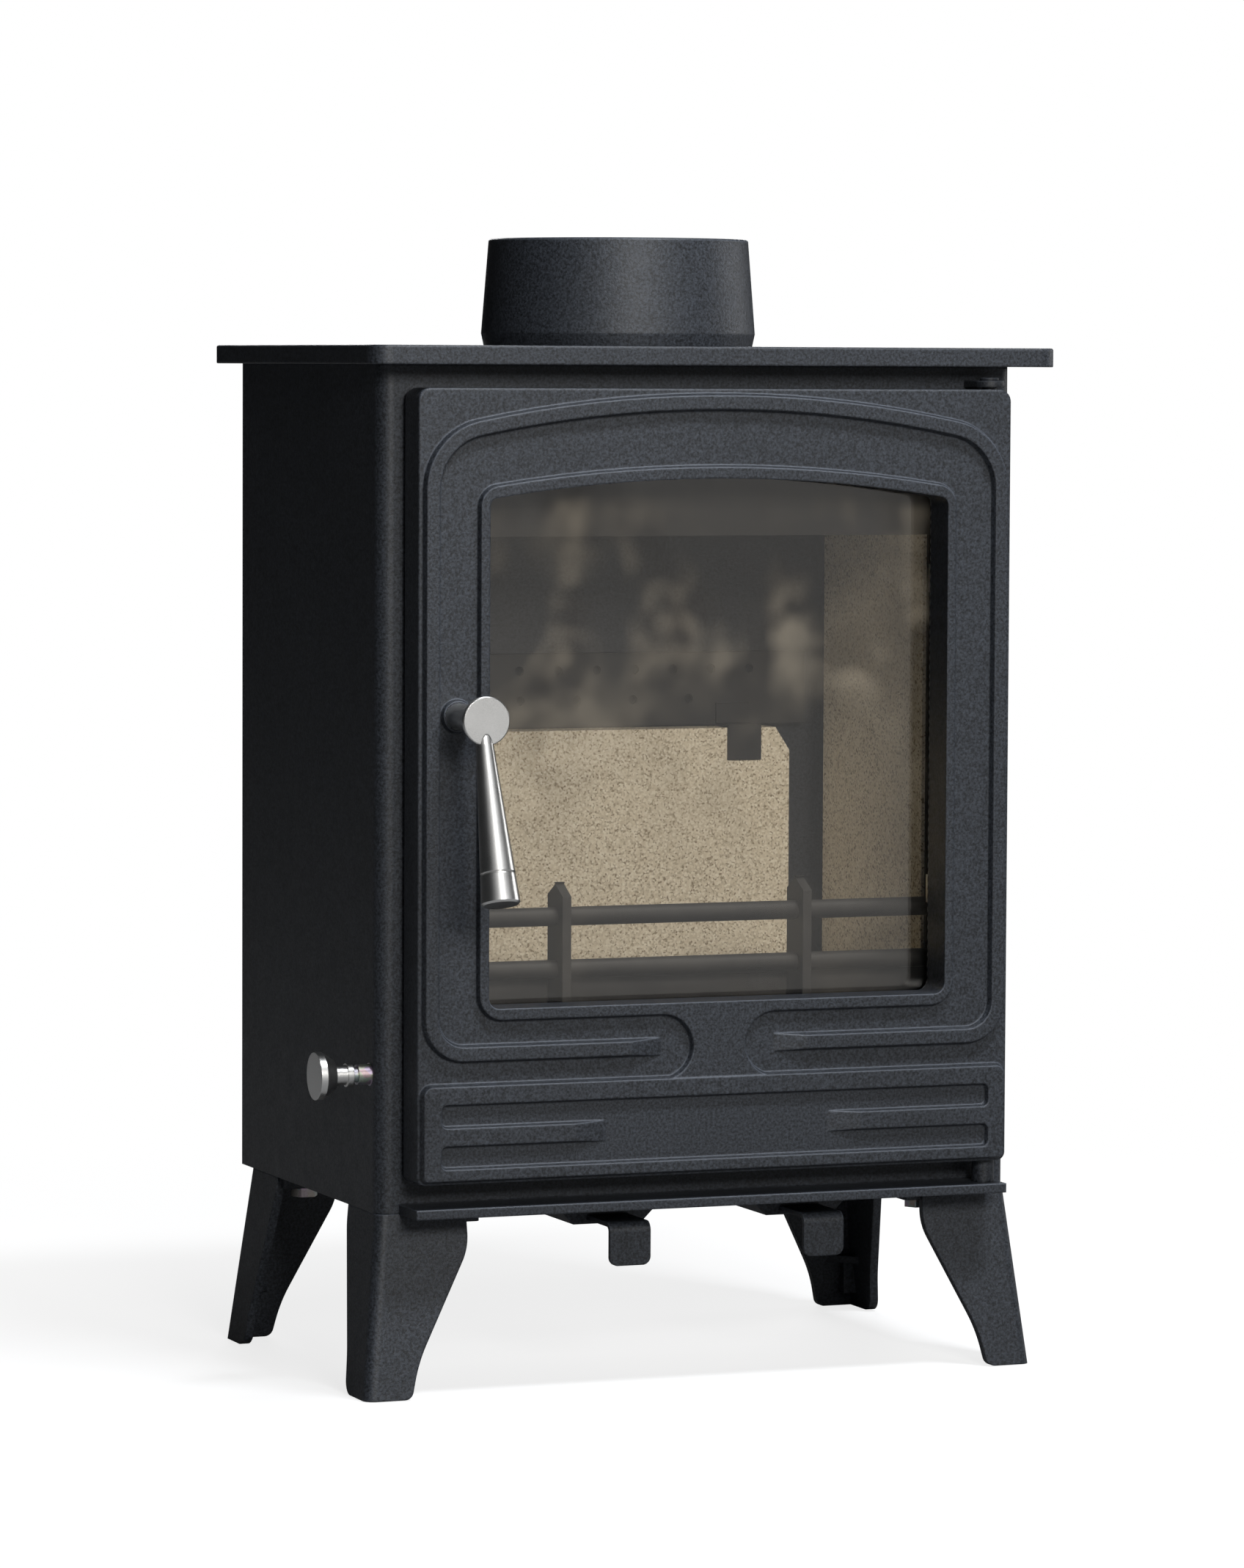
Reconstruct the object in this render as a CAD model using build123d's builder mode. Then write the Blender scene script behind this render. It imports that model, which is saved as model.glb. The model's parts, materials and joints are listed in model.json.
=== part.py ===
from build123d import *
import os
from math import cos, radians, sin, sqrt, tan

os.makedirs("parts", exist_ok=True)

# A small free-standing steel wood stove with a cast door. Millimetres, +Z up.
# The origin is on the floor, under the middle of the casing; the door faces -Y.

# Casing
casing_width = 360.0
casing_depth = 226.0
casing_height = 442.0
casing_sheet = 4.0
casing_corner_r = 8.0
base_height = 96.0
base_thickness = 5.0
lip_inset = 12.0
lip_reach = 27.0

# Top plate and flue collar
top_thickness = 10.0
top_side_overhang = 14.0
top_front_overhang = 30.0
top_rear_overhang = 3.0
top_front_corner_r = 11.0
top_edge_r = 1.2
collar_centre_y = 8.0
collar_bore_r = 65.0
collar_height = 58.0
collar_low_r = 74.5
collar_top_r = 70.5
collar_foot_r = 73.0
collar_foot_height = 7.0
collar_ledge_r = 54.0
collar_ledge_thickness = 6.0
collar_screw_count = 3
collar_screw_r = 2.5
collar_screw_head_r = 4.6
collar_screw_length = 13.0

# Door outline and thickness
door_side_inset = 12.5
door_gap_above = 12.0
door_gap_below = 12.5
door_stand_off = 26.0
door_plate = 6.0
door_top_r = 6.5
door_low_r = 4.5
door_edge_r = 1.0
rim_width = 18.0
rim_gap = 3.0
rim_rear_r = 2.5
rope_groove_inset = 5.5
rope_groove_width = 7.5
rope_groove_depth = 6.0
rope_clearance = 0.1
rope_height = 8.6
rope_r = 2.6

# Door window
window_side_margin = 38.0
window_low = 91.3
window_top_margin = 46.8
window_arch_r = 803.0
window_top_r = 4.5
window_low_r = 6.0
tunnel_wall = 8.0
tunnel_depth = 18.5

# Cast relief on the door's front
draft_angle = 18.0
frame_relief = 3.6
frame_side_width = 6.0
frame_low_width = 6.9
frame_top_width = 7.1
frame_top_r = 12.0
frame_low_r = 14.0
bead_relief = 4.0
bead_width = 9.6
bead_side_inset = 6.8
bead_low = 68.2
bead_top_inset = 7.0
bead_arch_r = 671.5
bead_top_r = 32.5
bead_low_r = 18.0
bead_tip_x = 32.0
ramp_length = 18.0
panel_relief = 4.2
panel_height = 52.8
panel_corner_r = 6.0
panel_inset = 1.2
recess_depth = 3.2
recess_side_inset = 11.9
recess_low = 8.3
recess_height = 34.0
recess_corner_r = 3.4
tongue_height = 9.0
tongue_tip_x = 63.0

# Door glass and its clips
tape_thickness = 2.0
tape_inset = 0.5
glass_overlap = 6.5
glass_thickness = 4.0
clip_height = 15.0
clip_thickness = 2.0
clip_screw_offset = 11.4
clip_reach = 9.8
clip_end_inset = 54.0
clip_boss_r = 4.5
clip_screw_r = 2.0
clip_head_r = 3.6
clip_head_height = 2.2
clip_screw_length = 9.0

# Door handle and latch
spindle_side_inset = 21.0
spindle_height = 243.3
spindle_r = 5.0
spindle_fit = 0.05
bush_r = 7.0
pad_r = 9.0
boss_r = 10.5
pad_relief = 3.0
sleeve_r = 7.0
sleeve_gap = 0.3
hub_reach = 45.0
hub_r = 12.6
hub_face_thickness = 2.4
hub_cone_length = 9.6
hub_edge_r = 0.5
lever_lean = 17.0
lever_neck_r = 4.6
lever_end_r = 10.2
lever_length = 84.0
lever_groove_from_end = 16.0
lever_groove_r = 0.6
lever_end_edge_r = 1.0
tongue_length = 24.0
tongue_width = 12.0
tongue_thickness = 5.0
tongue_behind_front = 0.6
keeper_clearance = 1.2
keeper_thickness = 3.0
keeper_height = 15.0

# Door hinge
hinge_side_inset = 7.5
hinge_y_offset = 14.0
hinge_pin_r = 4.0
hinge_fit = 0.05
hinge_engagement = 17.0
hinge_lug_thickness = 3.5
hinge_lug_half_width = 8.5
hinge_lug_gap = 1.2
hinge_collar_r = 6.0
hinge_head_r = 5.2
hinge_head_height = 1.6

# Opening in the casing front
opening_margin = 0.5
opening_corner_r = 8.0

# Legs
leg_wall = 5.0
leg_splay_x = 10.5
front_leg_splay_y = 12.5
rear_leg_splay_y = 13.5
rear_leg_inset = 15.0
leg_front_width = 49.0
leg_side_width = 46.5
leg_corner_r = 6.0
leg_flange_thickness = 6.0
leg_flange_x = 58.0
leg_flange_y = 53.0
leg_shelf_z = 26.0
leg_shelf_size = 19.0
leg_shelf_thickness = 4.0
leg_boss_size = 8.0
bolt_r = 4.0
bolt_hole_r = 4.3
bolt_head_r = 7.5
bolt_head_height = 5.5
nut_height = 6.5

# Air controls under the base
air_box_low_width = 39.0
air_box_depth = 13.0
air_box_sheet = 2.0
air_box_front_inset = 21.0
air_box_length = 70.0
air_control_x = (-43.0, 68.0)
air_window = (27.0, 16.0)
slide_thickness = 2.5
slide_width = 23.0
slide_tab_drop = 23.0
slide_tab_reach = 12.0
slide_bend_r = 5.0
slide_tab_corner_r = 4.5
slide_fit = 0.15
slide_overlap = 2.0

# Firebox floor, ash pan and grate
plenum_height = 23.0
floor_sheet = 3.5
ash_pan_side_gap = 54.0
ash_pan_height = 30.0
ash_pan_sheet = 1.5
ash_pan_front_inset = 24.0
ash_pan_rear_inset = 32.0
ash_pan_corner_r = 6.0
grate_height = 72.0
grate_thickness = 10.0
grate_ledge = 4.0
grate_half_width = 80.0
grate_half_depth = 50.0
grate_travel_in = 2.0
grate_travel_out = 18.0
grate_fit = 0.4
grate_slot_width = 7.0
grate_slot_pitch = 14.0
grate_slot_count = 10
grate_support_size = 14.0
rod_r = 4.0
rod_y_inset = 14.0
rod_inner_x = -60.0
rod_fit = 0.1
knob_r = 12.5
knob_reach = 30.0
link_width = 16.0
link_thickness = 4.0

# Fireproof lining and inner plates
brick_thickness = 25.0
side_brick_depth = 135.0
side_brick_height = 279.0
back_brick_thickness = 22.0
back_brick_side_gap = 43.0
back_brick_top = 335.0
back_brick_chamfer_x = 8.5
back_brick_chamfer_z = 13.0
manifold_sheet = 2.0
manifold_top = 377.0
manifold_depth = 11.0
manifold_side_gap = 26.0
manifold_hole_r = 2.5
upper_hole_pitch = 23.1
upper_hole_count = 11
upper_hole_z = 367.5
lower_hole_pitch = 33.8
lower_hole_count = 7
lower_hole_z = 350.8
lower_hole_shift = -22.6
riser_half_width = 50.0
brick_clip_width = 20.0
brick_clip_x = 105.0
brick_clip_drop = 18.0
retainer_sheet = 3.0
retainer_leg = 24.0
fence_y_inset = 28.0
fence_rod_r = 5.0
fence_rod_heights = (218.8, 246.8)
fence_bar_x = 69.0
fence_bar_width = 5.0
fence_bar_depth = 22.0
fence_bar_top = 265.0
fence_bar_chamfer = 7.0
fence_fit = 0.15
log_plate_thickness = 4.0
log_plate_top = 213.3
throat_thickness = 5.0
throat_front_inset = 60.0
throat_lip = 22.0
airwash_sheet = 2.5
airwash_low = 448.0
airwash_height = 52.0
airwash_inset = 16.0
airwash_flange = 34.0
lug_size = 20.0
lug_thickness = 8.0
top_bolt_r = 3.0
top_bolt_head_r = 5.5
top_bolt_head_height = 4.0
gap = 0.3

# Planes and heights that follow from the sizes above
half_width = casing_width / 2
lip_half_width = half_width - lip_inset
door_half_width = half_width - door_side_inset
door_height = casing_height - base_thickness - door_gap_below - door_gap_above
window_half_width = door_half_width - window_side_margin
window_apex = door_height - window_top_margin
bead_half_width = door_half_width - bead_side_inset
bead_apex = door_height - bead_top_inset
recess_half_width = door_half_width - recess_side_inset
clip_heights = (window_low + clip_end_inset, window_apex - clip_end_inset)
spindle_x = spindle_side_inset - door_half_width
hinge_x = door_half_width - hinge_side_inset
front_y = -casing_depth / 2
back_y = casing_depth / 2
inner_half_width = half_width - casing_sheet
inner_front_y = front_y + casing_sheet
inner_back_y = back_y - casing_sheet
back_brick_half_width = inner_half_width - back_brick_side_gap
manifold_half_width = inner_half_width - manifold_side_gap
ash_pan_half_width = inner_half_width - ash_pan_side_gap
base_top = base_height + base_thickness
casing_top = base_height + casing_height
top_surface = casing_top + top_thickness
door_low = base_top + door_gap_below
spindle_z = door_low + spindle_height
door_face_y = front_y - door_stand_off
rim_rear_y = front_y - rim_gap
door_plane = Plane(origin=(0, door_face_y, door_low), x_dir=(1, 0, 0), z_dir=(0, -1, 0))
opening_half_width = door_half_width - rope_groove_inset - rope_groove_width - opening_margin
opening_low = door_low + rope_groove_inset + rope_groove_width + opening_margin
opening_top = door_low + door_height - rope_groove_inset - rope_groove_width - opening_margin
hinge_y = front_y - hinge_y_offset
floor_low = base_top + plenum_height
floor_top = floor_low + floor_sheet
grate_low = base_height + grate_height
grate_top = grate_low + grate_thickness
front_plane = Plane(origin=(0, 0, 0), x_dir=(1, 0, 0), z_dir=(0, -1, 0))
side_plane = Plane(origin=(0, 0, 0), x_dir=(0, 1, 0), z_dir=(1, 0, 0))


def save(builder, node):
    """Name a finished piece and write it to its own file."""
    builder.part.label = node
    export_step(builder.part, "parts/" + node + ".step")


def arched_outline(half, low, apex, arch_r, top_r, low_r):
    """A closed outline with straight sides, a flat foot and a shallow arched top."""
    shoulder = apex - arch_r + sqrt(arch_r**2 - half**2)
    with BuildSketch() as outline:
        with BuildLine():
            Polyline((-half, shoulder), (-half, low), (half, low), (half, shoulder))
            ThreePointArc((half, shoulder), (0, apex), (-half, shoulder))
        make_face()
        fillet(outline.vertices().group_by(Axis.Y)[0], low_r)
        fillet(outline.vertices().group_by(Axis.Y)[-1], top_r)
    return outline.sketch


def door_outline():
    """The door's own outline, with larger radii at its upper corners."""
    with BuildSketch() as outline:
        with Locations((0, door_height / 2)):
            Rectangle(2 * door_half_width, door_height)
        fillet(outline.vertices().group_by(Axis.Y)[0], door_low_r)
        fillet(outline.vertices().group_by(Axis.Y)[-1], door_top_r)
    return outline.sketch


def window_outline():
    """The outline of the glazed opening."""
    return arched_outline(
        window_half_width, window_low, window_apex, window_arch_r, window_top_r, window_low_r
    )


# Casing: one folded sheet with a large opening behind the door
with BuildPart() as casing_wrap:
    with BuildSketch(Plane.XY.offset(base_height)) as wrap_outline:
        Rectangle(casing_width, casing_depth)
        fillet(wrap_outline.vertices().group_by(Axis.Y)[0], casing_corner_r)
        with Locations((0, casing_sheet / 2)):
            Rectangle(2 * inner_half_width, casing_depth - casing_sheet, mode=Mode.SUBTRACT)
    extrude(amount=casing_height)
    inner_front_edges = (
        casing_wrap.edges()
        .filter_by(Axis.Z)
        .filter_by(lambda edge: abs(edge.center().Y - inner_front_y) < gap)
    )
    fillet(inner_front_edges, casing_corner_r - casing_sheet)
    with BuildSketch(front_plane.offset(-front_y)) as casing_opening:
        with Locations((0, (opening_low + opening_top) / 2)):
            RectangleRounded(2 * opening_half_width, opening_top - opening_low, opening_corner_r)
    extrude(amount=-casing_sheet, mode=Mode.SUBTRACT)
    with BuildSketch(Plane.XY.offset(base_height)) as lip_slot:
        with Locations((0, front_y + casing_sheet / 2)):
            Rectangle(2 * lip_half_width, casing_sheet)
    extrude(amount=base_thickness, mode=Mode.SUBTRACT)
    with BuildSketch(side_plane.offset(-half_width)) as rod_hole:
        with Locations((front_y + rod_y_inset, grate_low + gap)):
            Circle(rod_r + casing_sheet / 2)
    extrude(amount=casing_sheet, mode=Mode.SUBTRACT)
save(casing_wrap, "casing_wrap")

with BuildPart() as back_panel:
    with BuildSketch(front_plane.offset(-back_y)) as back_outline:
        with Locations((0, (base_top + casing_top) / 2)):
            Rectangle(2 * inner_half_width, casing_height - base_thickness)
    extrude(amount=casing_sheet)
save(back_panel, "back_panel")

# Base plate, carried forward under the door as a lip
leg_bolt_spots = []
for side in (-1, 1):
    front_corner = (side * half_width, front_y)
    rear_corner = (side * half_width, back_y - rear_leg_inset)
    for corner, inward in ((front_corner, 1), (rear_corner, -1)):
        leg_bolt_spots.append((corner[0] - side * 44.0, corner[1] + inward * 18.0))
        leg_bolt_spots.append((corner[0] - side * 17.0, corner[1] + inward * 42.0))

with BuildPart() as base_plate:
    with BuildSketch(Plane.XY.offset(base_height)) as base_outline:
        with Locations((0, (inner_front_y + back_y) / 2)):
            Rectangle(2 * inner_half_width, back_y - inner_front_y)
        fillet(base_outline.vertices().group_by(Axis.Y)[0], casing_corner_r - casing_sheet)
        with Locations((0, (inner_front_y + front_y - lip_reach) / 2)):
            Rectangle(2 * lip_half_width, casing_sheet + lip_reach)
        with Locations(*leg_bolt_spots):
            Circle(bolt_hole_r, mode=Mode.SUBTRACT)
        for control_x in air_control_x:
            with Locations((control_x, front_y + air_box_front_inset + air_box_length / 2)):
                Rectangle(*air_window, mode=Mode.SUBTRACT)
        with Locations((hinge_x, hinge_y)):
            Circle(hinge_pin_r, mode=Mode.SUBTRACT)
    extrude(amount=base_thickness)
save(base_plate, "base_plate")

# Top plate
top_front_y = front_y - top_front_overhang
top_rear_y = back_y + top_rear_overhang
top_bolt_spots = [
    (side * (inner_half_width - lug_size / 2), end * (inner_back_y - lug_size / 2))
    for side in (-1, 1)
    for end in (-1, 1)
]
collar_screw_ring = (collar_bore_r + collar_ledge_r) / 2

with BuildPart() as top_plate:
    with BuildSketch(Plane.XY.offset(casing_top)) as top_outline:
        with Locations((0, (top_front_y + top_rear_y) / 2)):
            Rectangle(casing_width + 2 * top_side_overhang, top_rear_y - top_front_y)
        fillet(top_outline.vertices().group_by(Axis.Y)[0], top_front_corner_r)
        with Locations((0, collar_centre_y)):
            Circle(collar_ledge_r, mode=Mode.SUBTRACT)
    extrude(amount=top_thickness)
    fillet(top_plate.faces().sort_by(Axis.Z)[-1].outer_wire().edges(), top_edge_r)
    fillet(top_plate.faces().sort_by(Axis.Z)[0].outer_wire().edges(), top_edge_r / 2)
    with BuildSketch(Plane.XY.offset(casing_top)) as top_bolt_holes:
        with Locations(*top_bolt_spots):
            Circle(top_bolt_r)
    extrude(amount=top_thickness - 3.0, mode=Mode.SUBTRACT)
    with BuildSketch(Plane.XY.offset(top_surface)) as collar_screw_holes:
        with Locations((0, collar_centre_y)):
            with PolarLocations(collar_screw_ring, collar_screw_count, start_angle=90):
                Circle(collar_screw_r)
    extrude(amount=collar_ledge_thickness - collar_screw_length, mode=Mode.SUBTRACT)
save(top_plate, "top_plate")

# Corner lugs welded inside the casing hold the top plate from below
with BuildPart() as top_fixing_lugs:
    with BuildSketch(Plane.XY.offset(casing_top - lug_thickness)) as lug_outline:
        with Locations(*top_bolt_spots):
            Rectangle(lug_size, lug_size)
    extrude(amount=lug_thickness)
    corner_edges = (
        top_fixing_lugs.edges()
        .filter_by(Axis.Z)
        .filter_by(lambda edge: edge.center().Y < 0 and abs(edge.center().X) > inner_half_width - gap)
        .filter_by(lambda edge: edge.center().Y < inner_front_y + gap)
    )
    chamfer(corner_edges, casing_corner_r - casing_sheet)
    with BuildSketch(Plane.XY.offset(casing_top - lug_thickness)) as lug_holes:
        with Locations(*top_bolt_spots):
            Circle(top_bolt_r)
    extrude(amount=lug_thickness, mode=Mode.SUBTRACT)
save(top_fixing_lugs, "top_fixing_lugs")

with BuildPart() as top_bolts:
    with BuildSketch(Plane.XY.offset(casing_top - lug_thickness)) as top_bolt_heads:
        with Locations(*top_bolt_spots):
            RegularPolygon(top_bolt_head_r, 6)
    extrude(amount=-top_bolt_head_height)
    with BuildSketch(Plane.XY.offset(casing_top - lug_thickness)) as top_bolt_shanks:
        with Locations(*top_bolt_spots):
            Circle(top_bolt_r)
    extrude(amount=lug_thickness + top_thickness - 4.0)
save(top_bolts, "top_bolts")

# Flue collar: a cast ring with an inner ledge that stops the pipe
collar_plane = Plane(origin=(0, collar_centre_y, top_surface), x_dir=(1, 0, 0), z_dir=(0, -1, 0))
with BuildPart() as flue_collar:
    with BuildSketch(collar_plane) as collar_section:
        with BuildLine():
            Polyline(
                (collar_ledge_r, 0),
                (collar_foot_r, 0),
                (collar_low_r, collar_foot_height),
                (collar_top_r, collar_height),
                (collar_bore_r, collar_height),
                (collar_bore_r, collar_ledge_thickness),
                (collar_ledge_r, collar_ledge_thickness),
                close=True,
            )
        make_face()
    revolve(axis=Axis((0, collar_centre_y, 0), (0, 0, 1)))
    chamfer(flue_collar.edges().group_by(Axis.Z)[-1], 0.8)
    with BuildSketch(Plane.XY.offset(top_surface)) as ledge_holes:
        with Locations((0, collar_centre_y)):
            with PolarLocations(collar_screw_ring, collar_screw_count, start_angle=90):
                Circle(collar_screw_r)
    extrude(amount=collar_ledge_thickness, mode=Mode.SUBTRACT)
    head_depth = collar_screw_head_r - collar_screw_r
    with BuildSketch(Plane.XY.offset(top_surface + collar_ledge_thickness)) as head_seats:
        with Locations((0, collar_centre_y)):
            with PolarLocations(collar_screw_ring, collar_screw_count, start_angle=90):
                Circle(collar_screw_head_r)
    extrude(amount=-head_depth, taper=45, mode=Mode.SUBTRACT)
save(flue_collar, "flue_collar")

with BuildPart() as flue_collar_screws:
    with BuildSketch(Plane.XY.offset(top_surface + collar_ledge_thickness)) as screw_heads:
        with Locations((0, collar_centre_y)):
            with PolarLocations(collar_screw_ring, collar_screw_count, start_angle=90):
                Circle(collar_screw_head_r)
    extrude(amount=-head_depth, taper=45)
    with BuildSketch(Plane.XY.offset(top_surface + collar_ledge_thickness - head_depth)) as screw_shanks:
        with Locations((0, collar_centre_y)):
            with PolarLocations(collar_screw_ring, collar_screw_count, start_angle=90):
                Circle(collar_screw_r)
    extrude(amount=-(collar_screw_length - head_depth))
save(flue_collar_screws, "flue_collar_screws")


# Legs: cast corner pieces, splayed outward, with a flange under the base
def make_leg(corner_y, splay_y):
    """The left-hand leg whose outer corner stands at corner_y, built as a front leg."""
    corner_x = -half_width
    foot_x = corner_x - leg_splay_x
    foot_y = corner_y - splay_y
    front_inner_x = corner_x + leg_front_width
    side_inner_y = corner_y + leg_side_width
    with BuildPart() as front_wall:
        with BuildSketch(Plane.XZ) as front_outline:
            with BuildLine():
                front_edge = FilletPolyline(
                    (front_inner_x, base_height),
                    (front_inner_x + 0.5, 0.8 * base_height),
                    (foot_x + 30.0, 0.2 * base_height),
                    (foot_x + 25.5, 0),
                    (foot_x, 0),
                    radius=(30, 80, 5),
                )
                Polyline(front_edge @ 1, (corner_x, base_height), front_edge @ 0)
            make_face()
        extrude(amount=casing_depth, both=True)
        with BuildSketch(Plane.YZ) as front_slab:
            with BuildLine():
                Polyline(
                    (corner_y, base_height),
                    (foot_y, 0),
                    (foot_y + leg_wall, 0),
                    (corner_y + leg_wall, base_height),
                    close=True,
                )
            make_face()
        extrude(amount=casing_width, both=True, mode=Mode.INTERSECT)
    with BuildPart() as side_wall:
        with BuildSketch(Plane.YZ) as side_outline:
            with BuildLine():
                side_edge = FilletPolyline(
                    (side_inner_y, base_height),
                    (side_inner_y - 0.5, 0.9 * base_height),
                    (foot_y + 37.0, 0.22 * base_height),
                    (foot_y + 33.0, 0),
                    (foot_y, 0),
                    radius=(30, 60, 9),
                )
                Polyline(side_edge @ 1, (corner_y, base_height), side_edge @ 0)
            make_face()
        extrude(amount=casing_width, both=True)
        with BuildSketch(Plane.XZ) as side_slab:
            with BuildLine():
                Polyline(
                    (corner_x, base_height),
                    (foot_x, 0),
                    (foot_x + leg_wall, 0),
                    (corner_x + leg_wall, base_height),
                    close=True,
                )
            make_face()
        extrude(amount=casing_depth, both=True, mode=Mode.INTERSECT)
    with BuildPart() as leg:
        add(front_wall.part)
        add(side_wall.part)
        corner_middle = ((corner_x + foot_x) / 2, (corner_y + foot_y) / 2, base_height / 2)
        fillet(leg.edges().sort_by_distance(corner_middle)[0], leg_corner_r)
        with BuildSketch(Plane.XY.offset(base_height)) as flange:
            with BuildLine():
                Polyline(
                    (corner_x + leg_wall / 2, corner_y + leg_wall / 2),
                    (corner_x + leg_flange_x, corner_y + leg_wall / 2),
                    (corner_x + leg_flange_x, corner_y + leg_flange_y / 2),
                    (corner_x + leg_flange_x / 2, corner_y + leg_flange_y),
                    (corner_x + leg_wall / 2, corner_y + leg_flange_y),
                    close=True,
                )
            make_face()
            fillet(flange.vertices().group_by(Axis.X)[-1], 3.0)
        extrude(amount=-leg_flange_thickness)
        share = 1 - leg_shelf_z / base_height
        shelf_x = corner_x - share * leg_splay_x + leg_wall / 2
        shelf_y = corner_y - share * splay_y + leg_wall / 2
        with BuildSketch(Plane.XY.offset(leg_shelf_z)) as shelf:
            with BuildLine():
                Polyline(
                    (shelf_x, shelf_y),
                    (shelf_x + leg_shelf_size, shelf_y),
                    (shelf_x, shelf_y + leg_shelf_size),
                    close=True,
                )
            make_face()
        extrude(amount=leg_shelf_thickness)
        with BuildSketch(Plane.XY.offset(leg_shelf_z)) as rib:
            with Locations((shelf_x + leg_boss_size / 2, shelf_y + leg_boss_size / 2)):
                Rectangle(leg_boss_size, leg_boss_size)
        extrude(amount=8.0 - leg_shelf_z)
        with BuildSketch(Plane.XY.offset(base_height)) as flange_holes:
            with Locations((corner_x + 44.0, corner_y + 18.0), (corner_x + 17.0, corner_y + 42.0)):
                Circle(bolt_hole_r)
        extrude(amount=-leg_flange_thickness, mode=Mode.SUBTRACT)
    return leg.part


front_leg_shape = make_leg(front_y, front_leg_splay_y)
rear_leg_shape = make_leg(-(back_y - rear_leg_inset), rear_leg_splay_y)
with BuildPart() as leg_front_left:
    add(front_leg_shape)
save(leg_front_left, "leg_front_left")
with BuildPart() as leg_front_right:
    mirror(front_leg_shape, about=Plane.YZ)
save(leg_front_right, "leg_front_right")
with BuildPart() as leg_rear_left:
    mirror(rear_leg_shape, about=Plane.XZ)
save(leg_rear_left, "leg_rear_left")
with BuildPart() as leg_rear_right:
    mirror(leg_rear_left.part, about=Plane.YZ)
save(leg_rear_right, "leg_rear_right")

with BuildPart() as leg_bolts:
    with BuildSketch(Plane.XY.offset(base_height - leg_flange_thickness)) as leg_bolt_heads:
        with Locations(*leg_bolt_spots):
            RegularPolygon(bolt_head_r, 6)
    extrude(amount=-bolt_head_height)
    with BuildSketch(Plane.XY.offset(base_height - leg_flange_thickness)) as leg_bolt_shanks:
        with Locations(*leg_bolt_spots):
            Circle(bolt_r)
    extrude(amount=leg_flange_thickness + base_thickness + nut_height + 1.5)
save(leg_bolts, "leg_bolts")

with BuildPart() as leg_nuts:
    with BuildSketch(Plane.XY.offset(base_top)) as leg_nut_outline:
        with Locations(*leg_bolt_spots):
            RegularPolygon(bolt_head_r, 6)
        with Locations(*leg_bolt_spots):
            Circle(bolt_r, mode=Mode.SUBTRACT)
    extrude(amount=nut_height)
save(leg_nuts, "leg_nuts")

# Air boxes under the base, each with a slide on its floor
air_box_low_z = base_height - air_box_depth
air_box_top_width = air_box_low_width + 2 * air_box_depth
air_floor_z = air_box_low_z + air_box_sheet
air_front_y = front_y + air_box_front_inset
air_rear_y = air_front_y + air_box_length
air_window_y = (air_front_y + air_rear_y) / 2
slide_rear_y = air_window_y + air_window[1] / 2 + slide_overlap
slide_front_y = front_y - slide_tab_reach
slide_low_z = air_floor_z + slide_fit
slide_travel = air_window[1] + slide_overlap
inner_low_half = air_box_low_width / 2 - air_box_sheet * tan(radians(22.5))
inner_top_half = air_box_top_width / 2 - air_box_sheet * sqrt(2)

for control_x, box_node, slide_node in zip(
    air_control_x, ("primary_air_box", "airwash_air_box"), ("primary_air_slide", "airwash_slide")
):
    box_plane = Plane(origin=(control_x, air_front_y, 0), x_dir=(1, 0, 0), z_dir=(0, -1, 0))
    with BuildPart() as air_box:
        with BuildSketch(box_plane) as air_box_outline:
            with BuildLine():
                Polyline(
                    (-air_box_low_width / 2, air_box_low_z),
                    (air_box_low_width / 2, air_box_low_z),
                    (air_box_top_width / 2, base_height),
                    (-air_box_top_width / 2, base_height),
                    close=True,
                )
            make_face()
        extrude(amount=-air_box_length)
        with BuildSketch(box_plane.offset(-air_box_sheet)) as air_box_hollow:
            with BuildLine():
                Polyline(
                    (-inner_low_half, air_floor_z),
                    (inner_low_half, air_floor_z),
                    (inner_top_half, base_height),
                    (-inner_top_half, base_height),
                    close=True,
                )
            make_face()
        extrude(amount=-(air_box_length - 2 * air_box_sheet), mode=Mode.SUBTRACT)
        with BuildSketch(box_plane) as slide_slit:
            with Locations((0, air_floor_z + slide_thickness / 2 + slide_fit)):
                Rectangle(slide_width + 2 * gap, slide_thickness + 2 * slide_fit)
        extrude(amount=-air_box_sheet, mode=Mode.SUBTRACT)
        with BuildSketch(Plane.XY.offset(air_box_low_z)) as floor_window:
            with Locations((control_x, air_window_y)):
                Rectangle(slide_width - 4.0, air_window[1])
        extrude(amount=air_box_sheet, mode=Mode.SUBTRACT)
    save(air_box, box_node)

    tab_low_z = slide_low_z + slide_thickness - slide_tab_drop
    with BuildPart() as air_slide:
        with BuildSketch(side_plane.offset(control_x)) as slide_section:
            with BuildLine():
                FilletPolyline(
                    (slide_rear_y, slide_low_z),
                    (slide_front_y + slide_thickness, slide_low_z),
                    (slide_front_y + slide_thickness, tab_low_z),
                    (slide_front_y, tab_low_z),
                    (slide_front_y, slide_low_z + slide_thickness),
                    (slide_rear_y, slide_low_z + slide_thickness),
                    radius=(0, slide_bend_r - slide_thickness, 0, 0, slide_bend_r, 0),
                    close=True,
                )
            make_face()
        extrude(amount=slide_width / 2, both=True)
        fillet(air_slide.edges().filter_by(Axis.Y).group_by(Axis.Z)[0], slide_tab_corner_r)
    save(air_slide, slide_node)

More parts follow.
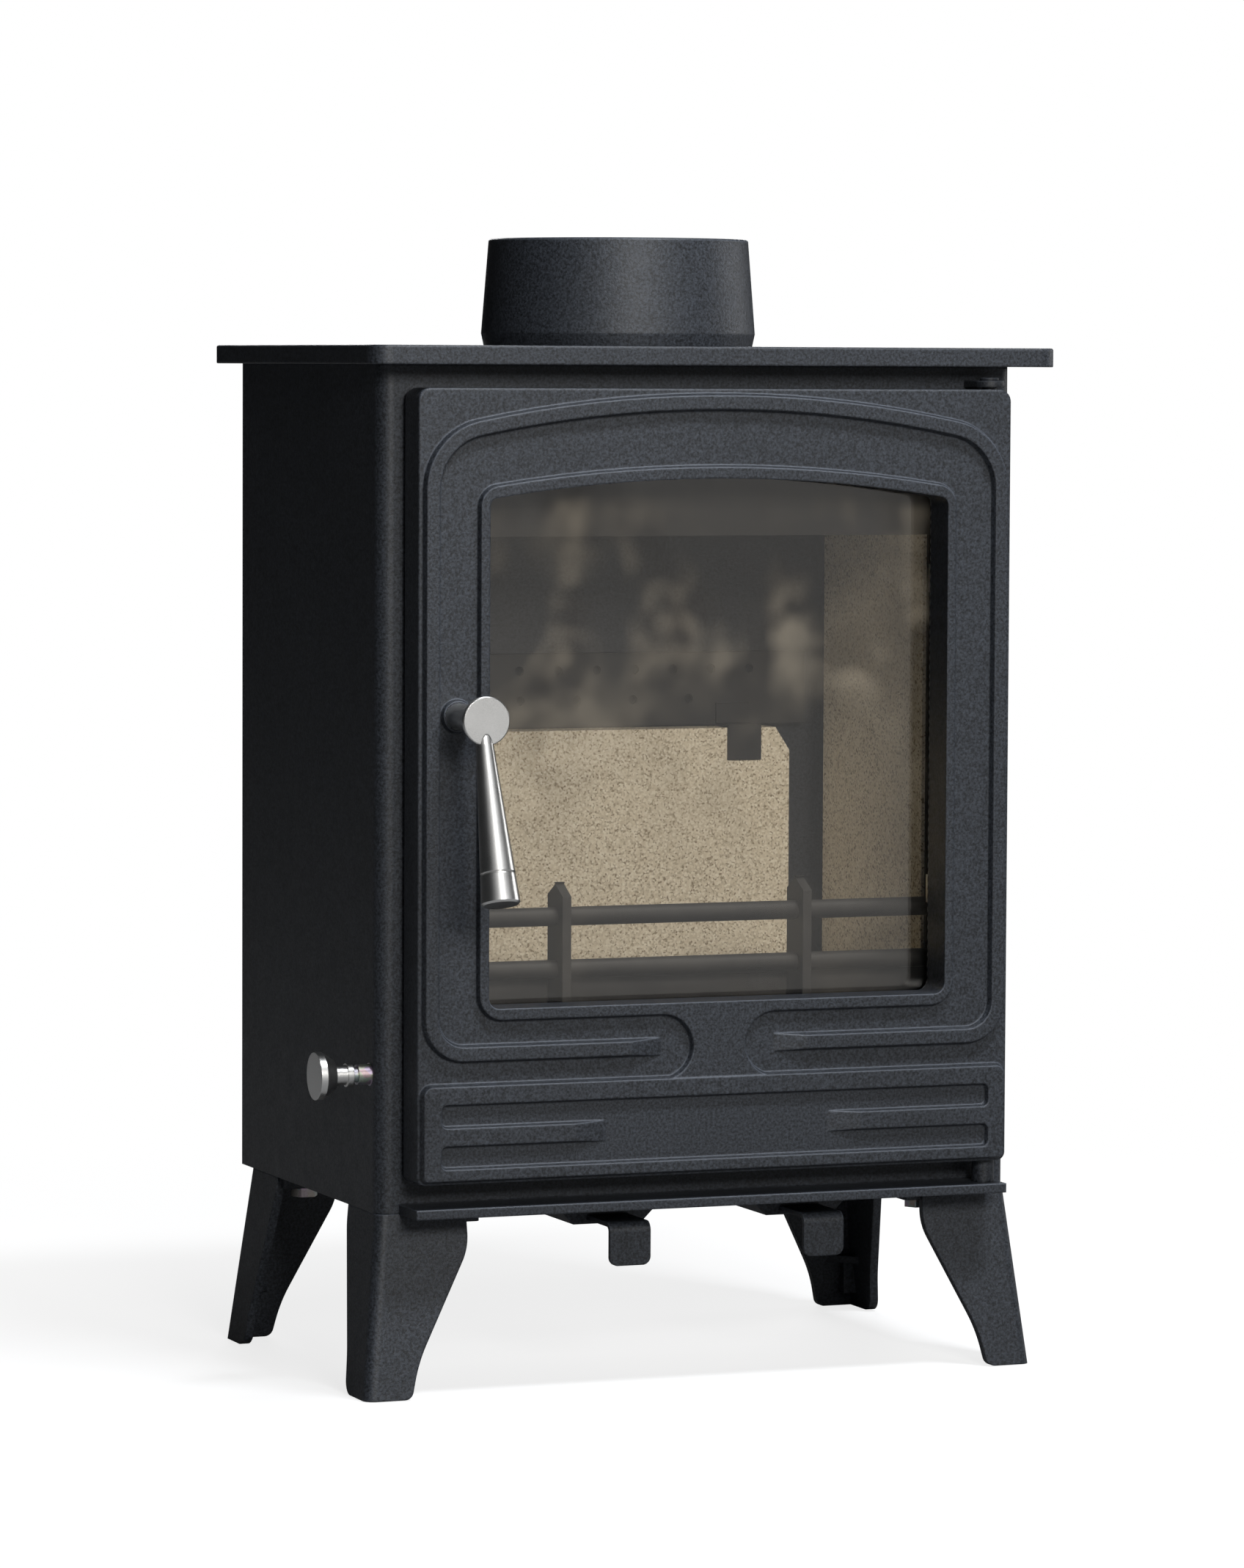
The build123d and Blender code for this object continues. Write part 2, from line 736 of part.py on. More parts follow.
# Floor of the ash space, and the divider between the two air chambers below it
with BuildPart() as ash_floor:
    with BuildSketch(Plane.XY.offset(floor_low)) as ash_floor_outline:
        with Locations((0, (inner_front_y + inner_back_y) / 2)):
            Rectangle(2 * inner_half_width, inner_back_y - inner_front_y)
        fillet(ash_floor_outline.vertices().group_by(Axis.Y)[0], casing_corner_r - casing_sheet)
        with Locations((air_control_x[0], inner_front_y + 12.0)):
            Rectangle(60.0, 10.0, mode=Mode.SUBTRACT)
        with Locations((0, inner_back_y - 2.5)):
            Rectangle(2 * riser_half_width - 8.0, 5.0, mode=Mode.SUBTRACT)
    extrude(amount=floor_sheet)
save(ash_floor, "ash_floor")

divider_x = (air_control_x[0] + air_control_x[1]) / 2
with BuildPart() as air_divider:
    with BuildSketch(Plane.XY.offset(base_top)) as divider_outline:
        with BuildLine():
            Polyline(
                (divider_x, inner_front_y),
                (divider_x + floor_sheet, inner_front_y),
                (divider_x + floor_sheet, air_rear_y),
                (-riser_half_width, air_rear_y + 50.0),
                (-riser_half_width, inner_back_y),
                (-riser_half_width - floor_sheet, inner_back_y),
                (-riser_half_width - floor_sheet, air_rear_y + 48.0),
                (divider_x, air_rear_y - 2.0),
                close=True,
            )
        make_face()
    extrude(amount=plenum_height)
save(air_divider, "air_divider")

# Ash pan: a folded tray with a finger hole in its front
ash_pan_front_y = front_y + ash_pan_front_inset
ash_pan_rear_y = back_y - ash_pan_rear_inset
with BuildPart() as ash_pan:
    with BuildSketch(Plane.XY.offset(floor_top)) as pan_outline:
        with Locations((0, (ash_pan_front_y + ash_pan_rear_y) / 2)):
            RectangleRounded(
                2 * ash_pan_half_width, ash_pan_rear_y - ash_pan_front_y, ash_pan_corner_r
            )
    extrude(amount=ash_pan_height)
    with BuildSketch(Plane.XY.offset(floor_top + ash_pan_sheet)) as pan_hollow:
        with Locations((0, (ash_pan_front_y + ash_pan_rear_y) / 2)):
            RectangleRounded(
                2 * (ash_pan_half_width - ash_pan_sheet),
                ash_pan_rear_y - ash_pan_front_y - 2 * ash_pan_sheet,
                ash_pan_corner_r - ash_pan_sheet,
            )
    extrude(amount=ash_pan_height, mode=Mode.SUBTRACT)
    with BuildSketch(front_plane.offset(-ash_pan_front_y)) as finger_hole:
        with Locations((0, floor_top + 0.62 * ash_pan_height)):
            SlotOverall(34.0, 11.0)
    extrude(amount=-ash_pan_sheet, mode=Mode.SUBTRACT)
save(ash_pan, "ash_pan")

# Fixed grate frame on two angle supports, with the riddling grate inside it
grate_frame_front_y = front_y + 21.0
grate_frame_rear_y = inner_back_y - manifold_depth + manifold_sheet
grate_centre_y = 2.0
seat_half_depth = grate_half_depth + grate_fit
with BuildPart() as grate_frame:
    with BuildSketch(Plane.XY.offset(grate_low)) as frame_outline:
        with Locations((0, (grate_frame_front_y + grate_frame_rear_y) / 2)):
            Rectangle(2 * (inner_half_width - gap), grate_frame_rear_y - grate_frame_front_y)
    extrude(amount=grate_thickness)
    with BuildSketch(Plane.XY.offset(grate_low + grate_ledge)) as grate_seat:
        with Locations(((grate_travel_in - grate_travel_out) / 2, grate_centre_y)):
            Rectangle(
                2 * (grate_half_width + grate_fit) + grate_travel_in + grate_travel_out,
                2 * seat_half_depth,
            )
    extrude(amount=grate_thickness, mode=Mode.SUBTRACT)
    with BuildSketch(Plane.XY.offset(grate_low)) as grate_throat:
        with Locations(((grate_travel_in - grate_travel_out) / 2, grate_centre_y)):
            Rectangle(
                2 * grate_half_width + grate_travel_in + grate_travel_out, 2 * (grate_half_depth - 6.0)
            )
    extrude(amount=grate_ledge, mode=Mode.SUBTRACT)
save(grate_frame, "grate_frame")

with BuildPart() as riddling_grate:
    with BuildSketch(Plane.XY.offset(grate_low + grate_ledge + 0.1)) as grate_outline:
        with Locations((0, grate_centre_y)):
            RectangleRounded(2 * grate_half_width, 2 * grate_half_depth, 3.0)
        with Locations((0, grate_centre_y)):
            with GridLocations(grate_slot_pitch, 0, grate_slot_count, 1):
                SlotOverall(
                    2 * (grate_half_depth - 9.0), grate_slot_width, rotation=90, mode=Mode.SUBTRACT
                )
    extrude(amount=grate_thickness - grate_ledge)
    lug_low = grate_low - 1.5
    link_x = rod_inner_x - link_width / 2
    with BuildSketch(Plane.XY.offset(lug_low)) as grate_lug:
        with Locations((link_x - 4.0, grate_centre_y - grate_half_depth + 14.0)):
            RectangleRounded(14.0, 12.0, 2.0)
    extrude(amount=grate_ledge + 1.6)
    with BuildSketch(Plane.XY.offset(lug_low)) as drive_hole:
        with Locations((link_x - 4.0, grate_centre_y - grate_half_depth + 14.0)):
            Circle(3.0)
    extrude(amount=grate_ledge + 4.0, mode=Mode.SUBTRACT)
save(riddling_grate, "riddling_grate")

# Riddling rod with its knob outside the left wall and a flat link to the grate
rod_y = front_y + rod_y_inset
rod_z = grate_low + gap
rod_outer_x = -half_width - 20.0
link_low = lug_low - link_thickness
rod_plane = Plane(origin=(rod_outer_x, rod_y, rod_z), x_dir=(0, 1, 0), z_dir=(1, 0, 0))
with BuildPart() as riddling_rod:
    with BuildSketch(rod_plane) as rod_section:
        Circle(rod_r)
    extrude(amount=rod_inner_x - rod_outer_x)
    with BuildSketch(Plane.XY.offset(rod_z - rod_r)) as rod_flat:
        with Locations((rod_inner_x - link_width / 2, rod_y)):
            Rectangle(link_width + 2 * gap, 2 * rod_r)
    extrude(amount=lug_low - rod_z + rod_r, mode=Mode.SUBTRACT)
save(riddling_rod, "riddling_rod")

link_rear_y = grate_centre_y - grate_half_depth + 22.0
with BuildPart() as riddling_link:
    with BuildSketch(Plane.XY.offset(link_low)) as link_outline:
        with Locations((link_x, (rod_y - rod_r + link_rear_y) / 2)):
            Rectangle(link_width, link_rear_y - rod_y + rod_r)
        fillet(link_outline.vertices(), 3.0)
        with Locations((link_x - 4.0, grate_centre_y - grate_half_depth + 14.0)):
            Circle(3.0, mode=Mode.SUBTRACT)
    extrude(amount=link_thickness)
save(riddling_link, "riddling_link")

with BuildPart() as drive_pin:
    with BuildSketch(Plane.XY.offset(link_low)) as drive_pin_section:
        with Locations((link_x - 4.0, grate_centre_y - grate_half_depth + 14.0)):
            Circle(3.0)
    extrude(amount=link_thickness + grate_ledge + 1.0)
    with BuildSketch(Plane.XY.offset(link_low)) as drive_pin_head:
        with Locations((link_x - 4.0, grate_centre_y - grate_half_depth + 14.0)):
            Circle(5.0)
    extrude(amount=-2.0)
save(drive_pin, "drive_pin")

knob_plane = Plane(origin=(-half_width, rod_y, rod_z), x_dir=(-1, 0, 0), z_dir=(0, -1, 0))
with BuildPart() as riddling_knob:
    with BuildSketch(knob_plane) as knob_section:
        with BuildLine():
            Polyline(
                (10.0, 0),
                (10.0, 6.2),
                (13.0, 6.2),
                (13.0, 5.2),
                (20.0, 5.2),
                (20.0, 8.2),
                (knob_reach - 3.5, knob_r),
                (knob_reach, knob_r),
                (knob_reach, 0),
                close=True,
            )
        make_face()
    revolve(axis=Axis((0, rod_y, rod_z), (1, 0, 0)))
    with BuildSketch(rod_plane) as knob_socket:
        Circle(rod_r)
    extrude(amount=20.0, mode=Mode.SUBTRACT)
save(riddling_knob, "riddling_knob")

with BuildPart() as riddling_bush:
    with BuildSketch(rod_plane.offset(20.0 - 7.0)) as bush_section:
        Circle(rod_r + casing_sheet / 2 - 0.7)
        Circle(rod_r + rod_fit, mode=Mode.SUBTRACT)
    extrude(amount=7.0)
    with BuildSketch(rod_plane.offset(20.0)) as bush_body:
        Circle(rod_r + casing_sheet / 2)
        Circle(rod_r + rod_fit, mode=Mode.SUBTRACT)
    extrude(amount=casing_sheet + 3.0)
save(riddling_bush, "riddling_bush")

with BuildPart() as grate_supports:
    for side in (-1, 1):
        with BuildSketch(front_plane.offset(-(grate_frame_front_y + 1.0))) as support_section:
            with BuildLine():
                Polyline(
                    (side * inner_half_width, grate_low),
                    (side * (inner_half_width - grate_support_size), grate_low),
                    (side * (inner_half_width - grate_support_size), grate_low - 3.0),
                    (side * (inner_half_width - 3.0), grate_low - 3.0),
                    (side * (inner_half_width - 3.0), grate_low - grate_support_size),
                    (side * inner_half_width, grate_low - grate_support_size),
                    close=True,
                )
            make_face()
        extrude(amount=-(grate_frame_rear_y - grate_frame_front_y - 1.0))
save(grate_supports, "grate_supports")

# Fireproof lining
side_brick_front_y = -64.0
for side, node in ((-1, "side_brick_left"), (1, "side_brick_right")):
    with BuildPart() as side_brick:
        with BuildSketch(Plane.XY.offset(grate_top)) as side_brick_outline:
            with Locations(
                (
                    side * (inner_half_width - 1.0 - brick_thickness / 2),
                    side_brick_front_y + side_brick_depth / 2,
                )
            ):
                Rectangle(brick_thickness, side_brick_depth)
        extrude(amount=side_brick_height)
        chamfer(side_brick.edges().filter_by(Axis.Y), 1.0)
    save(side_brick, node)

back_brick_front_y = inner_back_y - manifold_depth + manifold_sheet * 2 - back_brick_thickness
with BuildPart() as back_brick:
    with BuildSketch(front_plane.offset(-(back_brick_front_y + back_brick_thickness))):
        with BuildLine():
            Polyline(
                (-back_brick_half_width, grate_top),
                (back_brick_half_width, grate_top),
                (back_brick_half_width, back_brick_top - back_brick_chamfer_z),
                (back_brick_half_width - back_brick_chamfer_x, back_brick_top),
                (-back_brick_half_width + back_brick_chamfer_x, back_brick_top),
                (-back_brick_half_width, back_brick_top - back_brick_chamfer_z),
                close=True,
            )
        make_face()
    extrude(amount=back_brick_thickness)
save(back_brick, "back_brick")

# Air manifold behind the back brick: a riser below and a perforated box above
manifold_front_y = inner_back_y - manifold_depth
riser_front_y = back_brick_front_y + back_brick_thickness + gap
manifold_low = back_brick_top + 1.0
with BuildPart() as air_manifold:
    with BuildSketch(Plane.XY.offset(manifold_low)) as manifold_block:
        with Locations((0, (manifold_front_y + inner_back_y) / 2)):
            Rectangle(2 * manifold_half_width, manifold_depth)
    extrude(amount=manifold_top - manifold_low)
    with BuildSketch(Plane.XY.offset(floor_top)) as riser_block:
        with Locations((0, (riser_front_y + inner_back_y) / 2)):
            Rectangle(2 * riser_half_width, inner_back_y - riser_front_y)
    extrude(amount=manifold_low - floor_top)
    with BuildSketch(Plane.XY.offset(manifold_low + manifold_sheet)) as manifold_hollow:
        with Locations((0, (manifold_front_y + inner_back_y + manifold_sheet) / 2)):
            Rectangle(2 * (manifold_half_width - manifold_sheet), manifold_depth - manifold_sheet)
    extrude(amount=manifold_top - manifold_low - 2 * manifold_sheet, mode=Mode.SUBTRACT)
    with BuildSketch(Plane.XY.offset(floor_top)) as riser_hollow:
        with Locations((0, (riser_front_y + inner_back_y + 1.5) / 2)):
            Rectangle(2 * (riser_half_width - 1.5), inner_back_y - riser_front_y - 1.5)
    extrude(amount=manifold_low + 2 * manifold_sheet - floor_top, mode=Mode.SUBTRACT)
    with BuildSketch(front_plane.offset(-manifold_front_y)) as manifold_holes:
        with Locations((0, upper_hole_z)):
            with GridLocations(upper_hole_pitch, 0, upper_hole_count, 1):
                Circle(manifold_hole_r)
        with Locations((lower_hole_shift, lower_hole_z)):
            with GridLocations(lower_hole_pitch, 0, lower_hole_count, 1):
                Circle(manifold_hole_r)
    extrude(amount=-manifold_sheet, mode=Mode.SUBTRACT)
save(air_manifold, "air_manifold")

with BuildPart() as brick_clips:
    clip_wall_y = back_brick_front_y - 2.0
    with BuildSketch(side_plane.offset(-brick_clip_width / 2)) as brick_clip_section:
        with BuildLine():
            Polyline(
                (manifold_front_y, manifold_low + 12.0),
                (manifold_front_y - 2.0, manifold_low + 12.0),
                (manifold_front_y - 2.0, manifold_low + 1.0),
                (clip_wall_y, manifold_low + 1.0),
                (clip_wall_y, back_brick_top - brick_clip_drop),
                (clip_wall_y + 1.8, back_brick_top - brick_clip_drop),
                (clip_wall_y + 1.8, manifold_low - 0.8),
                (manifold_front_y, manifold_low - 0.8),
                close=True,
            )
        make_face()
    extrude(amount=brick_clip_width)
brick_clip_shape = brick_clips.part
with BuildPart() as brick_clip_pair:
    with Locations((-brick_clip_x, 0, 0), (brick_clip_x, 0, 0)):
        add(brick_clip_shape)
save(brick_clip_pair, "brick_clips")

# Angles that hold the side bricks and carry the log fence
angle_front_y = -95.0
with BuildPart() as lining_angles:
    for side in (-1, 1):
        with BuildSketch(Plane.XY.offset(grate_top)) as angle_outline:
            with BuildLine():
                Polyline(
                    (side * inner_half_width, angle_front_y),
                    (side * (inner_half_width - retainer_sheet), angle_front_y),
                    (side * (inner_half_width - retainer_sheet), side_brick_front_y - retainer_sheet),
                    (side * (inner_half_width - retainer_leg), side_brick_front_y - retainer_sheet),
                    (side * (inner_half_width - retainer_leg), side_brick_front_y),
                    (side * inner_half_width, side_brick_front_y),
                    close=True,
                )
            make_face()
        extrude(amount=side_brick_height)
    fence_y = front_y + fence_y_inset
    with BuildSketch(side_plane.offset(-half_width)) as rod_sockets:
        with Locations(*[(fence_y, height) for height in fence_rod_heights]):
            Circle(fence_rod_r + fence_fit)
    extrude(amount=casing_width, mode=Mode.SUBTRACT)
save(lining_angles, "lining_angles")

with BuildPart() as fence_rods:
    with BuildSketch(side_plane.offset(-inner_half_width + gap)) as fence_rod_sections:
        with Locations(*[(fence_y, height) for height in fence_rod_heights]):
            Circle(fence_rod_r)
    extrude(amount=2 * (inner_half_width - gap))
save(fence_rods, "fence_rods")

with BuildPart() as fence_bars:
    for bar_x in (-fence_bar_x, fence_bar_x):
        with BuildSketch(side_plane.offset(bar_x - fence_bar_width / 2)) as bar_outline:
            with Locations((fence_y, (grate_top + fence_bar_top) / 2)):
                Rectangle(fence_bar_depth, fence_bar_top - grate_top)
            chamfer(bar_outline.vertices().group_by(Axis.Y)[-1], fence_bar_chamfer, 1.8 * fence_bar_chamfer)
            with Locations(*[(fence_y, height) for height in fence_rod_heights]):
                Circle(fence_rod_r + fence_fit, mode=Mode.SUBTRACT)
        extrude(amount=fence_bar_width)
save(fence_bars, "fence_bars")

log_plate_y = fence_y + fence_bar_depth / 2 + gap
with BuildPart() as log_plate:
    with BuildSketch(front_plane.offset(-log_plate_y)) as log_plate_outline:
        with Locations((0, (grate_top + log_plate_top) / 2)):
            Rectangle(2 * (inner_half_width - retainer_leg - gap), log_plate_top - grate_top)
    extrude(amount=-log_plate_thickness)
    fillet(log_plate.edges().filter_by(Axis.X).group_by(Axis.Z)[-1], 1.0)
save(log_plate, "log_plate")

# Throat plate on top of the side bricks, its front edge turned up
brick_top = grate_top + side_brick_height
throat_front_y = front_y + throat_front_inset
with BuildPart() as throat_plate:
    with BuildSketch(side_plane.offset(-(inner_half_width - 2.0))) as throat_section:
        with BuildLine():
            Polyline(
                (inner_back_y - 2.0, brick_top),
                (throat_front_y, brick_top),
                (throat_front_y - throat_lip * cos(radians(50)), brick_top + throat_lip * sin(radians(50))),
                (
                    throat_front_y - throat_lip * cos(radians(50)) + throat_thickness * sin(radians(50)),
                    brick_top + throat_lip * sin(radians(50)) + throat_thickness * cos(radians(50)),
                ),
                (throat_front_y + throat_thickness * tan(radians(25)), brick_top + throat_thickness),
                (inner_back_y - 2.0, brick_top + throat_thickness),
                close=True,
            )
        make_face()
    extrude(amount=2 * (inner_half_width - 2.0))
save(throat_plate, "throat_plate")

# Airwash plate: hangs behind the top of the glass and turns the air down
airwash_y = front_y + airwash_inset
with BuildPart() as airwash_plate:
    with BuildSketch(side_plane.offset(-(inner_half_width - retainer_sheet - gap))) as airwash_section:
        with BuildLine():
            FilletPolyline(
                (airwash_y, airwash_low),
                (airwash_y, airwash_low + airwash_height),
                (airwash_y + airwash_flange, airwash_low + airwash_height),
                (airwash_y + airwash_flange, airwash_low + airwash_height - airwash_sheet),
                (airwash_y + airwash_sheet, airwash_low + airwash_height - airwash_sheet),
                (airwash_y + airwash_sheet, airwash_low),
                radius=(0, 2 * airwash_sheet, 0, 0, airwash_sheet, 0),
                close=True,
            )
        make_face()
    extrude(amount=2 * (inner_half_width - retainer_sheet - gap))
save(airwash_plate, "airwash_plate")


# Door casting. The relief is drawn flat, as seen from the front, then stood on the door's face
draft_spread = tan(radians(draft_angle))


def frame_and_post():
    """The band round the window and the post that joins it to the lower panel."""
    frame_low = window_low - frame_low_width
    with BuildSketch() as outline:
        add(
            arched_outline(
                window_half_width + frame_side_width,
                frame_low,
                window_apex + frame_top_width,
                window_arch_r + frame_top_width,
                frame_top_r,
                frame_low_r,
            )
        )
        with Locations((0, (panel_height - panel_corner_r + frame_low) / 2)):
            Rectangle(2 * bead_tip_x, frame_low - panel_height + panel_corner_r)
        with Locations((-bead_tip_x, bead_low), (bead_tip_x, bead_low)):
            Circle(frame_low - bead_low, mode=Mode.SUBTRACT)
    return outline.sketch


def bead_outline(shift):
    """The middle line of the bead, moved outward by shift."""
    return arched_outline(
        bead_half_width + shift,
        bead_low - shift,
        bead_apex + shift,
        bead_arch_r + shift,
        bead_top_r + shift,
        bead_low_r + shift,
    )


def panel_outline():
    """The foot of the lower panel, just inside the door's rounded edge."""
    with BuildSketch() as outline:
        with Locations((0, (panel_height + panel_inset) / 2)):
            Rectangle(2 * (door_half_width - panel_inset), panel_height - panel_inset)
        fillet(outline.vertices().group_by(Axis.Y)[0], door_low_r - panel_inset)
        fillet(outline.vertices().group_by(Axis.Y)[-1], panel_corner_r)
    return outline.sketch


def panel_recess():
    """The recess in the lower panel, with a tongue reaching in from each end."""
    middle = recess_low + recess_height / 2
    with BuildSketch() as outline:
        with Locations((0, middle)):
            Rectangle(2 * recess_half_width, recess_height)
        for side in (-1, 1):
            with Locations((side * (recess_half_width + tongue_tip_x) / 2, middle)):
                Rectangle(recess_half_width - tongue_tip_x, tongue_height, mode=Mode.SUBTRACT)
        ends = outline.vertices().filter_by(lambda v: abs(v.X) > recess_half_width - gap)
        fillet(ends, recess_corner_r)
    return outline.sketch


def ramp_cut(tip_x, middle, height, low, high):
    """Two wedges that fade raised bars down to nothing at their tips."""
    with BuildPart() as wedge:
        for side in (-1, 1):
            with BuildSketch(Plane.XZ.offset(-middle)):
                with BuildLine():
                    Polyline(
                        (side * (tip_x - 2.0), low),
                        (side * tip_x, low),
                        (side * (tip_x + ramp_length), high),
                        (side * (tip_x + ramp_length), high + 2.0),
                        (side * (tip_x - 2.0), high + 2.0),
                        close=True,
                    )
                make_face()
            extrude(amount=height / 2, both=True)
    return wedge.part


with BuildPart() as frame_relief_shape:
    with BuildSketch():
        add(frame_and_post())
    extrude(amount=frame_relief, taper=draft_angle)

with BuildPart() as bead_shape:
    with BuildSketch():
        add(bead_outline(bead_width / 2))
    extrude(amount=bead_relief, taper=draft_angle)
    with BuildSketch(Plane.XY.offset(bead_relief)):
        add(bead_outline(bead_relief * draft_spread - bead_width / 2))
    extrude(amount=-bead_relief, taper=draft_angle, mode=Mode.SUBTRACT)
    with BuildSketch():
        with Locations((0, bead_low)):
            Rectangle(2 * bead_tip_x, 2 * bead_width)
    extrude(amount=bead_relief, mode=Mode.SUBTRACT)
    add(ramp_cut(bead_tip_x, bead_low, 2 * bead_width, 0, bead_relief), mode=Mode.SUBTRACT)

with BuildPart() as pad_shape:
    with BuildSketch():
        with Locations((spindle_x, spindle_z - door_low)):
            Circle(pad_r)
    extrude(amount=pad_relief, taper=draft_angle)

panel_floor = panel_relief - recess_depth
with BuildPart() as panel_shape:
    with BuildSketch():
        add(panel_outline())
    extrude(amount=panel_relief, taper=draft_angle)
    with BuildSketch(Plane.XY.offset(panel_relief)):
        add(panel_recess())
    extrude(amount=-recess_depth, taper=draft_angle, mode=Mode.SUBTRACT)
    add(
        ramp_cut(
            tongue_tip_x,
            recess_low + recess_height / 2,
            tongue_height + 2 * recess_depth * draft_spread,
            panel_floor,
            panel_relief,
        ),
        mode=Mode.SUBTRACT,
    )

hinge_top_z = door_low + door_height
clip_screw_x = window_half_width + clip_screw_offset
clip_spots = [(side * clip_screw_x, height) for side in (-1, 1) for height in clip_heights]
clip_spots += [(0.0, window_apex + clip_screw_offset), (0.0, window_low - clip_screw_offset)]

with BuildPart() as door_frame:
    with BuildSketch(door_plane):
        add(door_outline())
    extrude(amount=-door_plate)
    with BuildSketch(door_plane.offset(-door_plate)) as rim_ring:
        add(door_outline())
        offset(door_outline(), -rim_width, mode=Mode.SUBTRACT)
    extrude(amount=-(door_stand_off - rim_gap - door_plate))
    fillet(door_frame.faces().sort_by(Axis.Y)[-1].outer_wire().edges(), rim_rear_r)
    with BuildSketch(door_plane.offset(-door_plate)) as spindle_boss:
        with Locations((spindle_x, spindle_z - door_low)):
            Circle(boss_r)
    extrude(amount=-(door_stand_off - rim_gap - door_plate))
    with BuildSketch(door_plane.offset(-(door_stand_off - rim_gap))) as rope_groove:
        offset(door_outline(), -rope_groove_inset)
        offset(door_outline(), -rope_groove_inset - rope_groove_width, mode=Mode.SUBTRACT)
    extrude(amount=rope_groove_depth, mode=Mode.SUBTRACT)
    with BuildSketch(door_plane.offset(-door_plate)) as tunnel_ring:
        offset(window_outline(), tunnel_wall)
    extrude(amount=-(tunnel_depth - door_plate))
    with BuildSketch(door_plane.offset(-door_plate)) as clip_bosses:
        with Locations(*clip_spots):
            Circle(clip_boss_r)
    extrude(amount=-(tunnel_depth - door_plate + tape_thickness + glass_thickness))
    fillet(door_frame.faces().sort_by(Axis.Y)[0].outer_wire().edges(), door_edge_r)
    for relief_shape in (frame_relief_shape, bead_shape, pad_shape, panel_shape):
        add(relief_shape.part.moved(door_plane.location))
    with BuildSketch(door_plane.offset(frame_relief + bead_relief)):
        add(window_outline())
    extrude(amount=-(door_stand_off + frame_relief + bead_relief), mode=Mode.SUBTRACT)
    with BuildSketch(door_plane.offset(pad_relief)) as spindle_bore:
        with Locations((spindle_x, spindle_z - door_low)):
            Circle(bush_r)
    extrude(amount=-(door_stand_off - rim_gap + pad_relief), mode=Mode.SUBTRACT)
    with BuildSketch(door_plane.offset(-(tunnel_depth + tape_thickness + glass_thickness))) as tapped_holes:
        with Locations(*clip_spots):
            Circle(clip_screw_r)
    extrude(amount=clip_screw_length - clip_thickness, mode=Mode.SUBTRACT)
    with BuildSketch(Plane.XY.offset(door_low)) as lower_hinge_bore:
        with Locations((hinge_x, hinge_y)):
            Circle(hinge_pin_r + hinge_fit)
    extrude(amount=hinge_engagement + 1.0, mode=Mode.SUBTRACT)
    with BuildSketch(Plane.XY.offset(hinge_top_z)) as upper_hinge_bore:
        with Locations((hinge_x, hinge_y)):
            Circle(hinge_pin_r + hinge_fit)
    extrude(amount=-(hinge_engagement + 1.0), mode=Mode.SUBTRACT)
save(door_frame, "door_frame")

# Door seal, glass, glass tape and clips
with BuildPart() as door_seal:
    with BuildSketch(door_plane.offset(-(door_stand_off - rim_gap - rope_groove_depth))) as seal_ring:
        offset(door_outline(), -rope_groove_inset - rope_clearance)
        offset(
            door_outline(),
            -rope_groove_inset - rope_groove_width + rope_clearance,
            mode=Mode.SUBTRACT,
        )
    extrude(amount=-rope_height)
    fillet(door_seal.faces().sort_by(Axis.Y)[-1].edges(), rope_r)
save(door_seal, "door_seal")

with BuildPart() as glass_tape:
    with BuildSketch(door_plane.offset(-tunnel_depth)):
        offset(window_outline(), glass_overlap)
        offset(window_outline(), tape_inset, mode=Mode.SUBTRACT)
    extrude(amount=-tape_thickness)
save(glass_tape, "glass_tape")

with BuildPart() as door_glass:
    with BuildSketch(door_plane.offset(-(tunnel_depth + tape_thickness))):
        offset(window_outline(), glass_overlap)
    extrude(amount=-glass_thickness)
save(door_glass, "door_glass")

clip_plane = door_plane.offset(-(tunnel_depth + tape_thickness + glass_thickness))
with BuildPart() as glass_clips:
    with BuildSketch(clip_plane) as clip_outlines:
        for side in (-1, 1):
            with Locations(*[(side * (clip_screw_x - clip_reach / 2 + 2.0), h) for h in clip_heights]):
                Rectangle(clip_reach + 4.0, clip_height)
        with Locations(
            (0, clip_spots[-2][1] - clip_reach / 2 + 2.0), (0, clip_spots[-1][1] + clip_reach / 2 - 2.0)
        ):
            Rectangle(clip_height, clip_reach + 4.0)
        with Locations(*clip_spots):
            Circle(clip_screw_r, mode=Mode.SUBTRACT)
    extrude(amount=-clip_thickness)
save(glass_clips, "glass_clips")

with BuildPart() as clip_screws:
    with BuildSketch(clip_plane.offset(-clip_thickness)) as clip_heads:
        with Locations(*clip_spots):
            Circle(clip_head_r)
    extrude(amount=-clip_head_height)
    with BuildSketch(clip_plane.offset(-clip_thickness)) as clip_shanks:
        with Locations(*clip_spots):
            Circle(clip_screw_r)
    extrude(amount=clip_screw_length - 0.5)
save(clip_screws, "clip_screws")

# Latch: bush in the door, spindle, sleeve and hub, lever, tongue and nut
spindle_plane = Plane(origin=(spindle_x, door_face_y, spindle_z), x_dir=(1, 0, 0), z_dir=(0, -1, 0))
spindle_axis = Axis((spindle_x, 0, spindle_z), (0, 1, 0))
with BuildPart() as latch_bush:
    with BuildSketch(spindle_plane.offset(pad_relief)) as bush_ring:
        Circle(bush_r)
        Circle(spindle_r + spindle_fit, mode=Mode.SUBTRACT)
    extrude(amount=-(door_stand_off - rim_gap + pad_relief))
save(latch_bush, "latch_bush")

